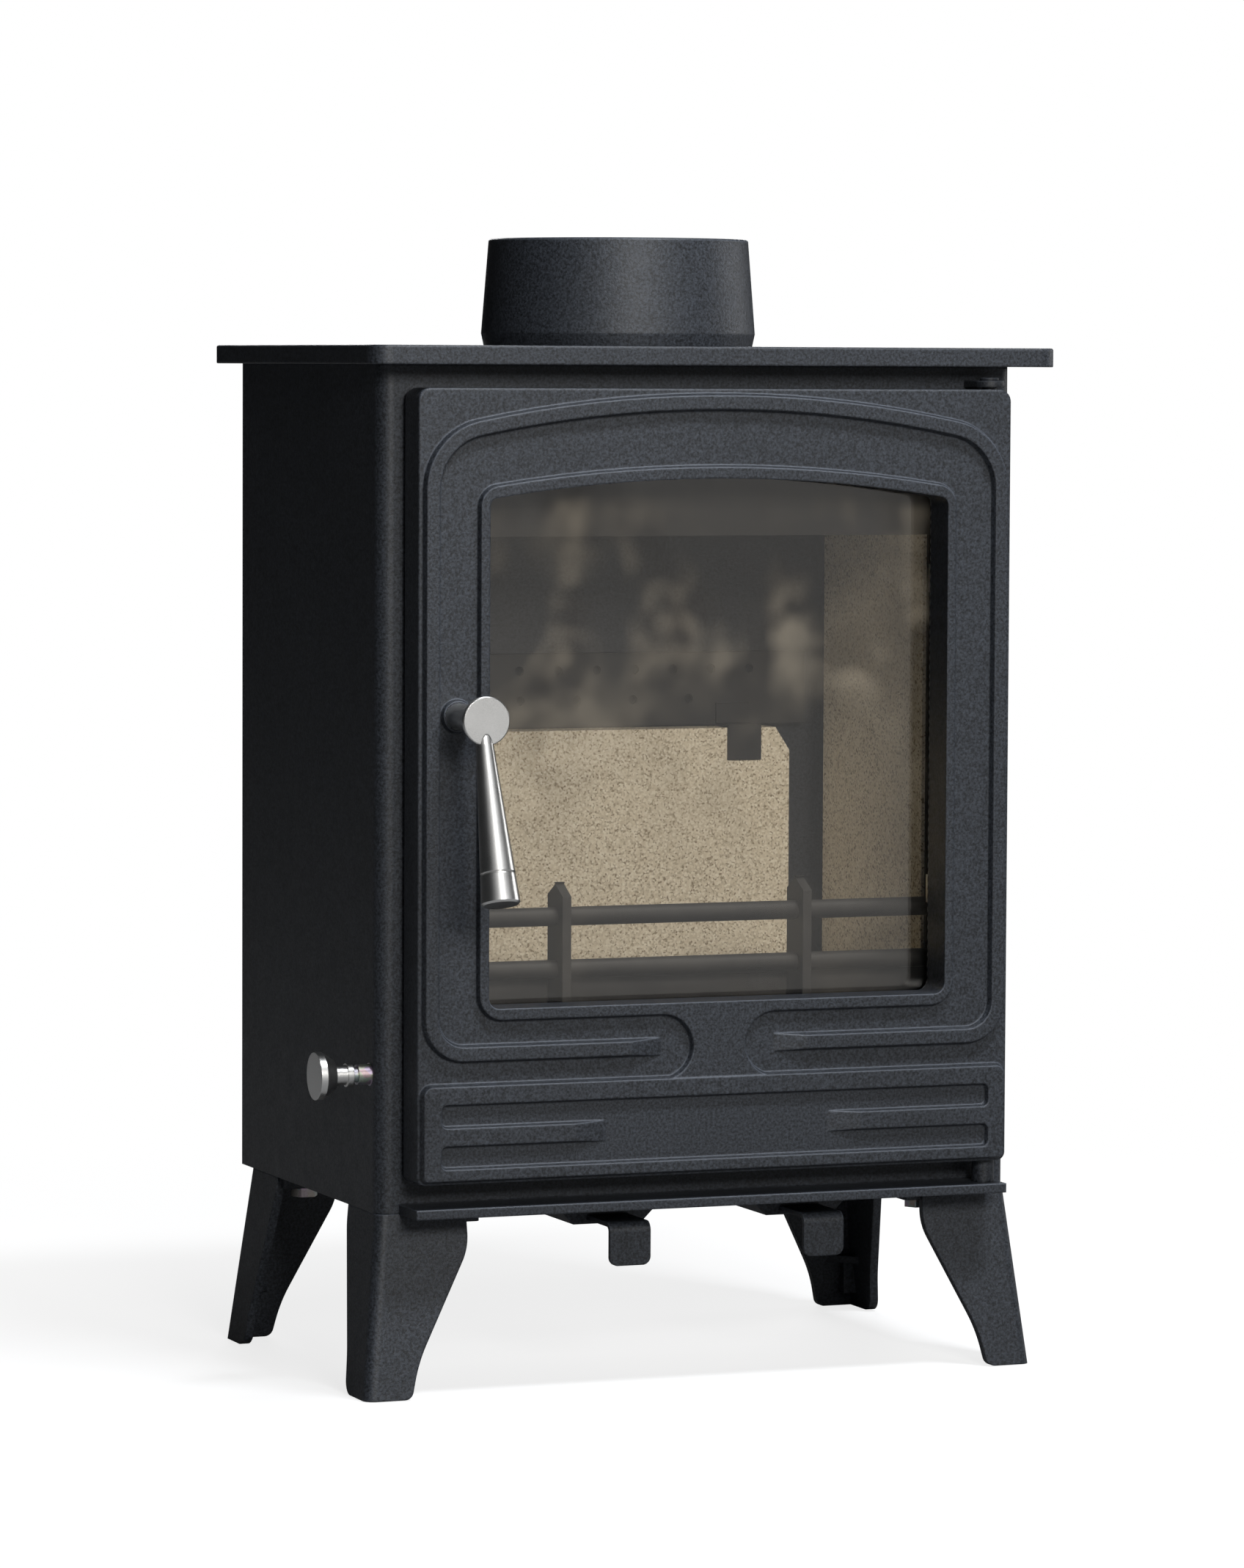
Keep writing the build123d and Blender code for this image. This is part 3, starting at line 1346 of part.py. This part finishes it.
tongue_front = door_stand_off + casing_sheet + tongue_behind_front
with BuildPart() as latch_spindle:
    with BuildSketch(spindle_plane.offset(hub_reach - hub_face_thickness - hub_cone_length)) as spindle_section:
        Circle(spindle_r)
    extrude(amount=-(hub_reach - hub_face_thickness - hub_cone_length + tongue_front + tongue_thickness + 7.0))
save(latch_spindle, "latch_spindle")

hub_section_plane = Plane(
    origin=(spindle_x, door_face_y, spindle_z), x_dir=(0, -1, 0), z_dir=(1, 0, 0)
)
hub_cone_start = hub_reach - hub_face_thickness - hub_cone_length
sleeve_start = pad_relief + sleeve_gap
lever_start_reach = hub_reach - hub_face_thickness - lever_neck_r
lever_direction = (0, -sin(radians(lever_lean)), -cos(radians(lever_lean)))
lever_origin = (spindle_x, door_face_y - lever_start_reach, spindle_z)
lever_plane = Plane(origin=lever_origin, x_dir=(1, 0, 0), z_dir=lever_direction)

with BuildPart() as handle_hub:
    with BuildSketch(hub_section_plane) as hub_section:
        with BuildLine():
            Polyline(
                (sleeve_start, spindle_r),
                (sleeve_start, sleeve_r),
                (hub_cone_start, sleeve_r),
                (hub_reach - hub_face_thickness, hub_r),
                (hub_reach, hub_r),
                (hub_reach, 0),
                (hub_cone_start, 0),
                (hub_cone_start, spindle_r),
                close=True,
            )
        make_face()
    revolve(axis=spindle_axis)
    chamfer(handle_hub.faces().sort_by(Axis.Y)[0].edges(), hub_edge_r)
    with BuildSketch(lever_plane) as lever_socket:
        Circle(lever_neck_r)
    extrude(amount=2 * hub_r, mode=Mode.SUBTRACT)
save(handle_hub, "handle_hub")

with BuildPart() as handle_lever:
    with BuildSketch(
        Plane(origin=lever_origin, x_dir=(1, 0, 0), z_dir=(0, -cos(radians(lever_lean)), sin(radians(lever_lean))))
    ) as lever_section:
        taper_start = hub_r + 1.0
        lever_end = hub_r + lever_length
        groove_at = lever_end - lever_groove_from_end
        slope = (lever_end_r - lever_neck_r) / lever_length
        groove_r_at = lever_end_r - slope * lever_groove_from_end
        with BuildLine():
            Polyline(
                (0, 0),
                (lever_neck_r, 0),
                (lever_neck_r, -taper_start),
                (groove_r_at, -groove_at + lever_groove_r),
                (groove_r_at - lever_groove_r, -groove_at),
                (groove_r_at, -groove_at - lever_groove_r),
                (lever_end_r, -lever_end),
                (0, -lever_end),
                close=True,
            )
        make_face()
    revolve(axis=Axis(lever_origin, lever_direction))
    chamfer(handle_lever.edges().sort_by(Axis.Z)[0], lever_end_edge_r)
save(handle_lever, "handle_lever")

tongue_plane = spindle_plane.offset(-tongue_front)
with BuildPart() as latch_tongue:
    with BuildSketch(tongue_plane) as tongue_outline:
        with Locations((0, (tongue_length - tongue_width / 2) / 2)):
            Rectangle(tongue_width, tongue_length + tongue_width / 2)
        fillet(tongue_outline.vertices().group_by(Axis.Y)[0], tongue_width / 2 - 0.2)
        chamfer(tongue_outline.vertices().group_by(Axis.Y)[-1], 3.0)
        Circle(spindle_r, mode=Mode.SUBTRACT)
    extrude(amount=-tongue_thickness)
save(latch_tongue, "latch_tongue")

with BuildPart() as tongue_nut:
    with BuildSketch(tongue_plane.offset(-tongue_thickness)) as tongue_nut_outline:
        RegularPolygon(9.0, 6)
        Circle(spindle_r, mode=Mode.SUBTRACT)
    extrude(amount=-5.0)
save(tongue_nut, "tongue_nut")

# Keeper plate behind the casing front, its tab just clear of the tongue
keeper_low = spindle_z + tongue_length + keeper_clearance
with BuildPart() as latch_keeper:
    with BuildSketch(Plane.XY.offset(keeper_low)) as keeper_section:
        with BuildLine():
            Polyline(
                (-inner_half_width + casing_corner_r, inner_front_y),
                (-opening_half_width + gap, inner_front_y),
                (-opening_half_width + gap, front_y + 1.0),
                (spindle_x + 4.0, front_y + 1.0),
                (spindle_x + 4.0, inner_front_y),
                (-opening_half_width + 4.0, inner_front_y),
                (-opening_half_width + 4.0, inner_front_y + keeper_thickness),
                (-inner_half_width + casing_corner_r, inner_front_y + keeper_thickness),
                close=True,
            )
        make_face()
    extrude(amount=keeper_height)
    with BuildSketch(front_plane.offset(-inner_front_y - keeper_thickness)) as keeper_holes:
        with Locations((-opening_half_width - 8.0, keeper_low + keeper_height / 2)):
            Circle(2.5)
    extrude(amount=keeper_thickness, mode=Mode.SUBTRACT)
save(latch_keeper, "latch_keeper")

# Hinge: two pins, a collar under the door and a lug above it
with BuildPart() as hinge_pins:
    with BuildSketch(Plane.XY.offset(base_height)) as lower_pin:
        with Locations((hinge_x, hinge_y)):
            Circle(hinge_pin_r)
    extrude(amount=door_low - base_height + hinge_engagement)
    upper_pin_low = hinge_top_z - hinge_engagement
    lug_low_z = hinge_top_z + hinge_lug_gap
    with BuildSketch(Plane.XY.offset(upper_pin_low)) as upper_pin:
        with Locations((hinge_x, hinge_y)):
            Circle(hinge_pin_r)
    extrude(amount=lug_low_z + hinge_lug_thickness - upper_pin_low)
    with BuildSketch(Plane.XY.offset(lug_low_z + hinge_lug_thickness)) as upper_pin_head:
        with Locations((hinge_x, hinge_y)):
            Circle(hinge_head_r)
    extrude(amount=hinge_head_height)
save(hinge_pins, "hinge_pins")

with BuildPart() as hinge_collar:
    with BuildSketch(Plane.XY.offset(base_top)) as collar_ring:
        with Locations((hinge_x, hinge_y)):
            Circle(hinge_collar_r)
            Circle(hinge_pin_r, mode=Mode.SUBTRACT)
    extrude(amount=door_gap_below - 0.1)
save(hinge_collar, "hinge_collar")

with BuildPart() as hinge_lug:
    with BuildSketch(Plane.XY.offset(lug_low_z)) as hinge_lug_outline:
        with Locations((hinge_x, (hinge_y + front_y) / 2)):
            Rectangle(2 * hinge_lug_half_width, front_y - hinge_y)
        with Locations((hinge_x, hinge_y)):
            Circle(hinge_lug_half_width)
            Circle(hinge_pin_r, mode=Mode.SUBTRACT)
    extrude(amount=hinge_lug_thickness)
save(hinge_lug, "hinge_lug")
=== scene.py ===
import json
import math

import bmesh
import bpy
from mathutils import Matrix, Vector


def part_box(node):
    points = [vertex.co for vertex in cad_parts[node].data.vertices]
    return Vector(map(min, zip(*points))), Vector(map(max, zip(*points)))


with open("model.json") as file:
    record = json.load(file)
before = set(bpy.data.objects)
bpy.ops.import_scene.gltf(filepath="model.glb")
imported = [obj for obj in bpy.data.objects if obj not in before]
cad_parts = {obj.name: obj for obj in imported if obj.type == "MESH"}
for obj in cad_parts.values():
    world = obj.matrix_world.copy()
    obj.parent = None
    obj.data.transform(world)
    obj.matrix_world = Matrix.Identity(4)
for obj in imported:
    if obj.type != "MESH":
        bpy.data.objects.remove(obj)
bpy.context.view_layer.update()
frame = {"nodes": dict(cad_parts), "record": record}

# Camera: the photograph's lens and viewing angle. The last three are metres to its own right, up and back
IMAGE_HEIGHT_PX = 2137
FOCAL_PX = 8640.77
SENSOR_MM = 36.0
CLIP_START = 0.1
CLIP_END = 60.0
CAMERA_AZIMUTH = math.radians(-21.6)
CAMERA_PITCH = math.radians(3.78)
CAMERA_ROLL = math.radians(0.27)
CAMERA_SIDE = 0.00045
CAMERA_RISE = 0.30952
CAMERA_DISTANCE = 3.47703

# Stove paint: linear colours, and sizes in metres
PAINT_DARK = (0.005, 0.0058, 0.0072)
PAINT_LIGHT = (0.041, 0.0465, 0.057)
PAINT_SPECULAR = 0.3
PAINT_EDGE_RADIUS = 0.0014
SHEET_GRAIN_DEPTH = 0.00012
CAST_GRAIN_DEPTH = 0.0002
BEVEL_SAMPLES = 4

# The glass's film of painted reflections begins and is full at these shares of the glass's height
REFLECTION_FILM_START = 0.25
REFLECTION_FILM_FULL = 0.75

# Studio: places and sizes in metres
LAMP_TARGET = (0.0, 0.0, 0.3)
WHITE = (1.0, 1.0, 1.0)
WARM_WHITE = (1.0, 0.99, 0.97)
COOL_WHITE = (0.93, 0.96, 1.0)
DIM_ROOM_COLOR = (0.9, 0.94, 1.0)
DIM_ROOM_STRENGTH = 0.02
REFLECTED_WHITE = 0.6
FLOOR_HALF_SIZE = 30.0
FLOOR_SEGMENTS = 4
FLOOR_DROP = 0.0004


class Nodes:
    """A small helper that adds and joins the shader nodes of one material or world."""

    def __init__(self, owner, output_kind="ShaderNodeOutputMaterial"):
        self.owner = owner
        owner.use_nodes = True
        self.tree = owner.node_tree
        self.tree.nodes.clear()
        self.output = self.add(output_kind)
        self.coords = self.add("ShaderNodeTexCoord")

    def add(self, kind, **values):
        node = self.tree.nodes.new(kind)
        for key, value in values.items():
            setattr(node, key, value)
        return node

    def link(self, source, target):
        self.tree.links.new(source, target)

    def feed(self, value, socket):
        """Set a socket to a number or a colour, or link another node's output to it."""
        if isinstance(value, (int, float)):
            socket.default_value = value
        elif isinstance(value, tuple):
            socket.default_value = (*value, 1.0)
        else:
            self.link(value, socket)

    def finish(self, shader):
        self.link(shader, self.output.inputs["Surface"])
        return self.owner

    def stretched(self, scale):
        mapping = self.add("ShaderNodeMapping")
        mapping.inputs["Scale"].default_value = scale
        self.link(self.coords.outputs["Object"], mapping.inputs["Vector"])
        return mapping.outputs["Vector"]

    def noise(self, size, detail=3.0, roughness=0.5, vector=None):
        """Noise whose lumps are about size metres across."""
        node = self.add("ShaderNodeTexNoise")
        node.inputs["Scale"].default_value = 1.0 / size
        node.inputs["Detail"].default_value = detail
        node.inputs["Roughness"].default_value = roughness
        self.link(vector or self.coords.outputs["Object"], node.inputs["Vector"])
        return node.outputs["Fac"]

    def cells(self, size):
        """Cells about size metres across, each with its own colour and a distance from its middle."""
        node = self.add("ShaderNodeTexVoronoi")
        node.inputs["Scale"].default_value = 1.0 / size
        self.link(self.coords.outputs["Object"], node.inputs["Vector"])
        return node.outputs

    def ramp(self, source, stops):
        node = self.add("ShaderNodeValToRGB")
        elements = node.color_ramp.elements
        while len(elements) < len(stops):
            elements.new(0.5)
        for element, (place, color) in zip(elements, stops):
            element.position = place
            element.color = (*color, 1.0)
        self.link(source, node.inputs["Fac"])
        return node.outputs["Color"]

    def map_range(self, source, before, after=(0.0, 1.0), curve="LINEAR"):
        """The source's range before[0] to before[1] moved to after[0] to after[1], and held at its ends."""
        node = self.add("ShaderNodeMapRange", interpolation_type=curve)
        node.inputs["From Min"].default_value = before[0]
        node.inputs["From Max"].default_value = before[1]
        node.inputs["To Min"].default_value = after[0]
        node.inputs["To Max"].default_value = after[1]
        self.link(source, node.inputs["Value"])
        return node.outputs["Result"]

    def span(self, source, low, high):
        """The source's range 0 to 1 moved to low to high."""
        return self.map_range(source, (0.0, 1.0), (low, high))

    def axis(self, vector, name):
        node = self.add("ShaderNodeSeparateXYZ")
        self.link(vector, node.inputs["Vector"])
        return node.outputs[name]

    def math(self, operation, first, second):
        node = self.add("ShaderNodeMath", operation=operation)
        self.feed(first, node.inputs[0])
        self.feed(second, node.inputs[1])
        return node.outputs["Value"]

    def mix(self, factor, first, second, blend="MIX"):
        """Two colours mixed, by the sockets 0, 6 and 7 that the node keeps for colours."""
        node = self.add("ShaderNodeMix", data_type="RGBA", blend_type=blend)
        self.feed(factor, node.inputs[0])
        self.feed(first, node.inputs[6])
        self.feed(second, node.inputs[7])
        return node.outputs[2]

    def mix_shaders(self, factor, first, second):
        node = self.add("ShaderNodeMixShader")
        self.link(factor, node.inputs["Fac"])
        self.link(first, node.inputs[1])
        self.link(second, node.inputs[2])
        return node.outputs["Shader"]

    def bump(self, height, distance, strength, normal=None):
        node = self.add("ShaderNodeBump")
        node.inputs["Strength"].default_value = strength
        node.inputs["Distance"].default_value = distance
        self.link(height, node.inputs["Height"])
        if normal is not None:
            self.link(normal, node.inputs["Normal"])
        return node.outputs["Normal"]

    def soft_edges(self, radius):
        node = self.add("ShaderNodeBevel", samples=BEVEL_SAMPLES)
        node.inputs["Radius"].default_value = radius
        return node.outputs["Normal"]

    def upward_edge_highlight_mask(self, rounded):
        """Where the painted highlight goes: 1 on edges that look upward, where the rounded normal leaves
        the plain one, and 0 on faces.
        """
        plain = self.add("ShaderNodeNewGeometry").outputs["Normal"]
        likeness = self.add("ShaderNodeVectorMath", operation="DOT_PRODUCT")
        self.link(rounded, likeness.inputs[0])
        self.link(plain, likeness.inputs[1])
        edge = self.ramp(likeness.outputs["Value"], [(0.86, (1, 1, 1)), (0.985, (0, 0, 0))])
        upward = self.map_range(self.axis(rounded, "Z"), (-0.05, 0.35))
        return self.math("MULTIPLY", edge, upward)

    def seen_directly(self, path):
        """1 for rays from the camera and for rays that passed the glass."""
        return self.math("MAXIMUM", path.outputs["Is Camera Ray"], path.outputs["Is Transmission Ray"])

    def reflected_white(self, path, depth, before):
        """How white reflections see the studio: nothing beside the stove, and REFLECTED_WHITE far ahead."""
        ahead = self.map_range(depth, before, (0.0, REFLECTED_WHITE), "SMOOTHSTEP")
        return self.math("MULTIPLY", path.outputs["Is Glossy Ray"], ahead)

    def surface(self, color, roughness, normal, metallic=0.0, specular=0.5):
        """The finished material, made of one principled shader."""
        shader = self.add("ShaderNodeBsdfPrincipled")
        shader.inputs["Metallic"].default_value = metallic
        shader.inputs["Specular IOR Level"].default_value = specular
        self.link(color, shader.inputs["Base Color"])
        self.feed(roughness, shader.inputs["Roughness"])
        self.link(normal, shader.inputs["Normal"])
        return self.finish(shader.outputs["BSDF"])


def scaled(color, factor):
    return tuple(factor * channel for channel in color)


def stove_paint(material, grain_depth):
    """Heat-proof stove paint: a satin near-black with a fine sandy grain, and a painted highlight that
    makes its upward edges paler.
    """
    n = Nodes(material)
    grain = n.noise(size=0.0014, detail=4.0, roughness=0.72)
    pits = n.noise(size=0.0042, detail=3.0, roughness=0.6)
    clouds = n.noise(size=0.07, detail=3.0)
    color = n.ramp(grain, [(0.38, PAINT_DARK), (0.64, PAINT_LIGHT)])
    color = n.mix(n.span(clouds, low=0.0, high=0.4), color, scaled(PAINT_DARK, 0.9))
    rounded = n.soft_edges(PAINT_EDGE_RADIUS)
    # Painted highlight: upward edges are mixed towards a pale paint colour in place of the light that those
    # edges catch.
    painted_edge_highlight = n.math("MULTIPLY", n.upward_edge_highlight_mask(rounded), 0.75)
    color = n.mix(painted_edge_highlight, color, scaled(PAINT_LIGHT, 2.4))
    height = n.math("ADD", grain, n.math("MULTIPLY", pits, 0.7))
    normal = n.bump(height, distance=grain_depth, strength=0.9, normal=rounded)
    roughness = n.span(n.noise(size=0.012, detail=3.0), low=0.42, high=0.54)
    return n.surface(color, roughness, normal, specular=PAINT_SPECULAR)


def sheet_paint(material):
    return stove_paint(material, SHEET_GRAIN_DEPTH)


def cast_paint(material):
    return stove_paint(material, CAST_GRAIN_DEPTH)


def brushed_stainless(material):
    """Turned stainless steel with fine marks across the turning axis."""
    n = Nodes(material)
    marks = n.noise(size=0.0006, detail=3.0, roughness=0.6, vector=n.stretched((1.0, 1.0, 9.0)))
    smears = n.noise(size=0.011, detail=2.0)
    color = n.ramp(marks, [(0.3, (0.48, 0.475, 0.465)), (0.7, (0.66, 0.655, 0.64))])
    wear = n.math("ADD", marks, n.math("MULTIPLY", smears, 0.4))
    roughness = n.span(wear, low=0.2, high=0.34)
    normal = n.bump(marks, distance=0.00004, strength=0.35, normal=n.soft_edges(0.0005))
    return n.surface(color, roughness, normal, metallic=1.0)


def zinc_plate(material):
    """Dull zinc on screws, bolts and small pressings."""
    n = Nodes(material)
    spangle = n.cells(size=0.004)["Color"]
    grain = n.noise(size=0.0009)
    color = n.ramp(grain, [(0.3, (0.3, 0.3, 0.3)), (0.7, (0.42, 0.42, 0.41))])
    color = n.mix(0.12, color, spangle)
    roughness = n.span(n.noise(size=0.01), low=0.34, high=0.5)
    normal = n.bump(grain, distance=0.00005, strength=0.4, normal=n.soft_edges(0.0003))
    return n.surface(color, roughness, normal, metallic=1.0)


def vermiculite(material):
    """Pressed vermiculite board: tan, matt, full of light and dark flakes."""
    n = Nodes(material)
    grains = n.cells(size=0.0011)["Color"]
    flakes = n.cells(size=0.0042)["Distance"]
    clouds = n.noise(size=0.045, detail=3.0)
    grain_colors = [
        (0.12, (0.26, 0.2, 0.12)),
        (0.34, (0.68, 0.61, 0.48)),
        (0.56, (0.8, 0.73, 0.59)),
        (0.9, (0.96, 0.92, 0.8)),
    ]
    speck = n.ramp(flakes, [(0.0, (0.4, 0.3, 0.18)), (0.22, WHITE)])
    color = n.mix(0.4, n.ramp(grains, grain_colors), speck, "MULTIPLY")
    color = n.mix(n.span(clouds, low=0.0, high=0.35), color, (0.72, 0.65, 0.51))
    height = n.math("ADD", grains, flakes)
    normal = n.bump(height, distance=0.0004, strength=0.6, normal=n.soft_edges(0.0008))
    return n.surface(color, 0.9, normal, specular=0.15)


def dull_steel(material):
    """Uncoated inner steel, dulled by heat: dark, mottled and matt."""
    n = Nodes(material)
    mottle = n.noise(size=0.02, detail=5.0, roughness=0.6)
    grain = n.noise(size=0.0013, detail=3.0)
    color = n.ramp(mottle, [(0.3, (0.009, 0.009, 0.0095)), (0.7, (0.024, 0.0235, 0.023))])
    roughness = n.span(mottle, low=0.5, high=0.7)
    normal = n.bump(grain, distance=0.00006, strength=0.4, normal=n.soft_edges(0.0005))
    return n.surface(color, roughness, normal, specular=0.22)


def seal_rope(material):
    """Braided glass-fibre rope: dark grey with a woven bump."""
    n = Nodes(material)
    wave = n.add("ShaderNodeTexWave", wave_type="BANDS", bands_direction="DIAGONAL")
    wave.inputs["Scale"].default_value = 130.0
    wave.inputs["Distortion"].default_value = 2.5
    wave.inputs["Detail"].default_value = 2.0
    n.link(n.coords.outputs["Object"], wave.inputs["Vector"])
    weave = wave.outputs["Fac"]
    color = n.ramp(weave, [(0.1, (0.05, 0.05, 0.05)), (0.9, (0.2, 0.2, 0.195))])
    normal = n.bump(weave, distance=0.0006, strength=0.8)
    return n.surface(color, 0.95, normal, specular=0.1)


def clear_pane(n):
    """Clear, faintly amber glass that mirrors more at a slant."""
    pane = n.add("ShaderNodeBsdfPrincipled")
    pane.inputs["Transmission Weight"].default_value = 1.0
    pane.inputs["IOR"].default_value = 1.5
    pane.inputs["Specular IOR Level"].default_value = 0.0
    pane.inputs["Roughness"].default_value = 0.0
    pane.inputs["Base Color"].default_value = (0.93, 0.89, 0.83, 1.0)
    gloss = n.add("ShaderNodeBsdfGlossy")
    gloss.inputs["Roughness"].default_value = 0.0
    facing = n.add("ShaderNodeLayerWeight").outputs["Facing"]
    slant = n.ramp(facing, [(0.3, (0, 0, 0)), (1.0, (0.6, 0.6, 0.6))])
    return n.mix_shaders(slant, pane.outputs["BSDF"], gloss.outputs["BSDF"])


def painted_reflection_film(n):
    """The painted reflection film's shader, and how much of the glass it covers: streaks that thicken
    towards the top.
    """
    streaks = n.noise(size=0.055, detail=2.0, roughness=0.5, vector=n.stretched((1.0, 1.0, 0.6)))
    wisps = n.noise(size=0.026, detail=1.0, roughness=0.5)
    # Painted reflection: a brownish diffuse film that stands in for soft reflections of the surroundings in
    # the glass.
    film = n.add("ShaderNodeBsdfDiffuse")
    n.link(n.ramp(wisps, [(0.4, (0.03, 0.026, 0.022)), (0.66, (0.3, 0.26, 0.2))]), film.inputs["Color"])
    glass_low, glass_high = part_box("door_glass")
    glass_height = glass_high.z - glass_low.z
    limits = (glass_low.z + REFLECTION_FILM_START * glass_height, glass_low.z + REFLECTION_FILM_FULL * glass_height)
    upper = n.map_range(n.axis(n.coords.outputs["Object"], "Z"), limits, (0.1, 1.0))
    streaked = n.ramp(streaks, [(0.45, (0, 0, 0)), (0.7, (0.3, 0.3, 0.3))])
    return film.outputs["BSDF"], n.math("MULTIPLY", streaked, upper)


def ceramic_glass(material):
    """A clear pane under a diffuse film of painted reflections. Light, and the reflections in other pieces,
    pass it unbent.
    """
    n = Nodes(material)
    film, cover = painted_reflection_film(n)
    pane_with_painted_reflection = n.mix_shaders(cover, clear_pane(n), film)
    clear = n.add("ShaderNodeBsdfTransparent")
    clear.inputs["Color"].default_value = (0.95, 0.93, 0.9, 1.0)
    path = n.add("ShaderNodeLightPath")
    lighting = n.math("MAXIMUM", path.outputs["Is Shadow Ray"], path.outputs["Is Diffuse Ray"])
    mirrored = n.math("SUBTRACT", path.outputs["Is Glossy Ray"], path.outputs["Is Transmission Ray"])
    through = n.math("MAXIMUM", lighting, mirrored)
    return n.finish(n.mix_shaders(through, pane_with_painted_reflection, clear.outputs["BSDF"]))


makers = {
    "black_stove_paint": sheet_paint,
    "black_cast_paint": cast_paint,
    "brushed_stainless": brushed_stainless,
    "vermiculite": vermiculite,
    "zinc_plated_steel": zinc_plate,
    "ceramic_glass": ceramic_glass,
    "seal_rope": seal_rope,
    "heat_dulled_steel": dull_steel,
}
materials = {slot: make(bpy.data.materials.new("mat_" + slot)) for slot, make in makers.items()}
slot_of = {part["node"]: part["material_slot"] for part in frame["record"]["subparts"]}
for node_name, node_object in frame["nodes"].items():
    node_object.data.materials.clear()
    node_object.data.materials.append(materials[slot_of[node_name]])


def camera():
    """The photograph's camera, placed by its direction, roll and distance."""
    back = Vector(
        (
            math.sin(CAMERA_AZIMUTH) * math.cos(CAMERA_PITCH),
            -math.cos(CAMERA_AZIMUTH) * math.cos(CAMERA_PITCH),
            math.sin(CAMERA_PITCH),
        )
    )
    right = (-back).cross(Vector((0, 0, 1))).normalized()
    up = right.cross(-back)
    place = right * CAMERA_SIDE + up * CAMERA_RISE + back * CAMERA_DISTANCE
    rolled_right = right * math.cos(CAMERA_ROLL) + up * math.sin(CAMERA_ROLL)
    rolled_up = up * math.cos(CAMERA_ROLL) - right * math.sin(CAMERA_ROLL)
    data = bpy.data.cameras.new("camera")
    data.sensor_width = SENSOR_MM
    data.lens = FOCAL_PX * SENSOR_MM / IMAGE_HEIGHT_PX
    data.clip_start = CLIP_START
    data.clip_end = CLIP_END
    holder = bpy.data.objects.new("camera", data)
    bpy.context.scene.collection.objects.link(holder)
    turn = Matrix((rolled_right, rolled_up, back)).transposed()
    holder.matrix_world = Matrix.Translation(place) @ turn.to_4x4()
    bpy.context.scene.camera = holder


def area_light(name, place, size, watts, color=WHITE):
    """A rectangular lamp that looks at the middle of the stove and isn't seen by the camera."""
    data = bpy.data.lights.new(name, "AREA")
    data.shape = "RECTANGLE"
    data.size, data.size_y = size
    data.energy = watts
    data.color = color
    holder = bpy.data.objects.new(name, data)
    holder.location = place
    holder.rotation_euler = (Vector(LAMP_TARGET) - Vector(place)).to_track_quat("-Z", "Y").to_euler()
    bpy.context.scene.collection.objects.link(holder)
    holder.visible_camera = False


def lamps():
    """Soft lamps in front and above, and weaker ones behind and at the right for the other sides."""
    area_light("key", place=(-0.3, -2.95, 1.25), size=(0.8, 0.6), watts=58.0, color=WARM_WHITE)
    area_light("top", place=(0.35, -1.1, 2.4), size=(0.7, 0.3), watts=82.0, color=COOL_WHITE)
    area_light("rear", place=(0.9, 2.7, 1.5), size=(1.2, 0.9), watts=46.0)
    area_light("right", place=(2.9, 0.3, 1.0), size=(1.0, 0.8), watts=16.0)


def background():
    """A world that is white to the camera and through the glass.

    Reflections see its white only in front of the stove. Elsewhere they see a dim room, which keeps the
    stove's sides near black.
    """
    world = bpy.data.worlds.new("world")
    bpy.context.scene.world = world
    n = Nodes(world, "ShaderNodeOutputWorld")
    dim = n.add("ShaderNodeBackground")
    n.feed(DIM_ROOM_COLOR, dim.inputs["Color"])
    n.feed(DIM_ROOM_STRENGTH, dim.inputs["Strength"])
    white = n.add("ShaderNodeBackground")
    n.feed(WHITE, white.inputs["Color"])
    path = n.add("ShaderNodeLightPath")
    depth = n.axis(n.coords.outputs["Generated"], "Y")
    mirrored = n.reflected_white(path, depth, before=(-0.25, -0.95))
    share = n.math("MAXIMUM", n.seen_directly(path), mirrored)
    n.finish(n.mix_shaders(share, dim.outputs["Background"], white.outputs["Background"]))


def floor_material(material):
    """Nearly white to the camera, a little darker under the stove, and grey to the light it throws back."""
    n = Nodes(material)
    path = n.add("ShaderNodeLightPath")
    seen = n.seen_directly(path)
    pale = n.ramp(n.noise(size=0.4), [(0.2, (0.88, 0.88, 0.88)), (0.8, (0.91, 0.91, 0.91))])
    matt = n.add("ShaderNodeBsdfDiffuse")
    n.link(n.mix(seen, (0.24, 0.24, 0.24), pale), matt.inputs["Color"])
    glow = n.add("ShaderNodeEmission")
    depth = n.axis(n.coords.outputs["Object"], "Y")
    mirrored = n.reflected_white(path, depth, before=(-0.8, -3.0))
    distance = n.add("ShaderNodeVectorMath", operation="LENGTH")
    n.link(n.coords.outputs["Object"], distance.inputs[0])
    clearing = n.map_range(distance.outputs["Value"], (0.25, 0.95), (0.78, 1.0))
    share = n.math("MAXIMUM", n.math("MULTIPLY", seen, clearing), mirrored)
    return n.finish(n.mix_shaders(share, matt.outputs["BSDF"], glow.outputs["Emission"]))


def floor():
    """A wide pale floor that shows white to the camera and keeps the stove's shadow."""
    mesh = bmesh.new()
    bmesh.ops.create_grid(
        mesh, x_segments=FLOOR_SEGMENTS, y_segments=FLOOR_SEGMENTS, size=FLOOR_HALF_SIZE
    )
    data = bpy.data.meshes.new("floor")
    mesh.to_mesh(data)
    mesh.free()
    piece = bpy.data.objects.new("floor", data)
    piece.location = (0.0, 0.0, -FLOOR_DROP)
    bpy.context.scene.collection.objects.link(piece)
    data.materials.append(floor_material(bpy.data.materials.new("mat_floor")))


camera()
lamps()
background()
floor()
bpy.context.scene.view_settings.view_transform = "Standard"
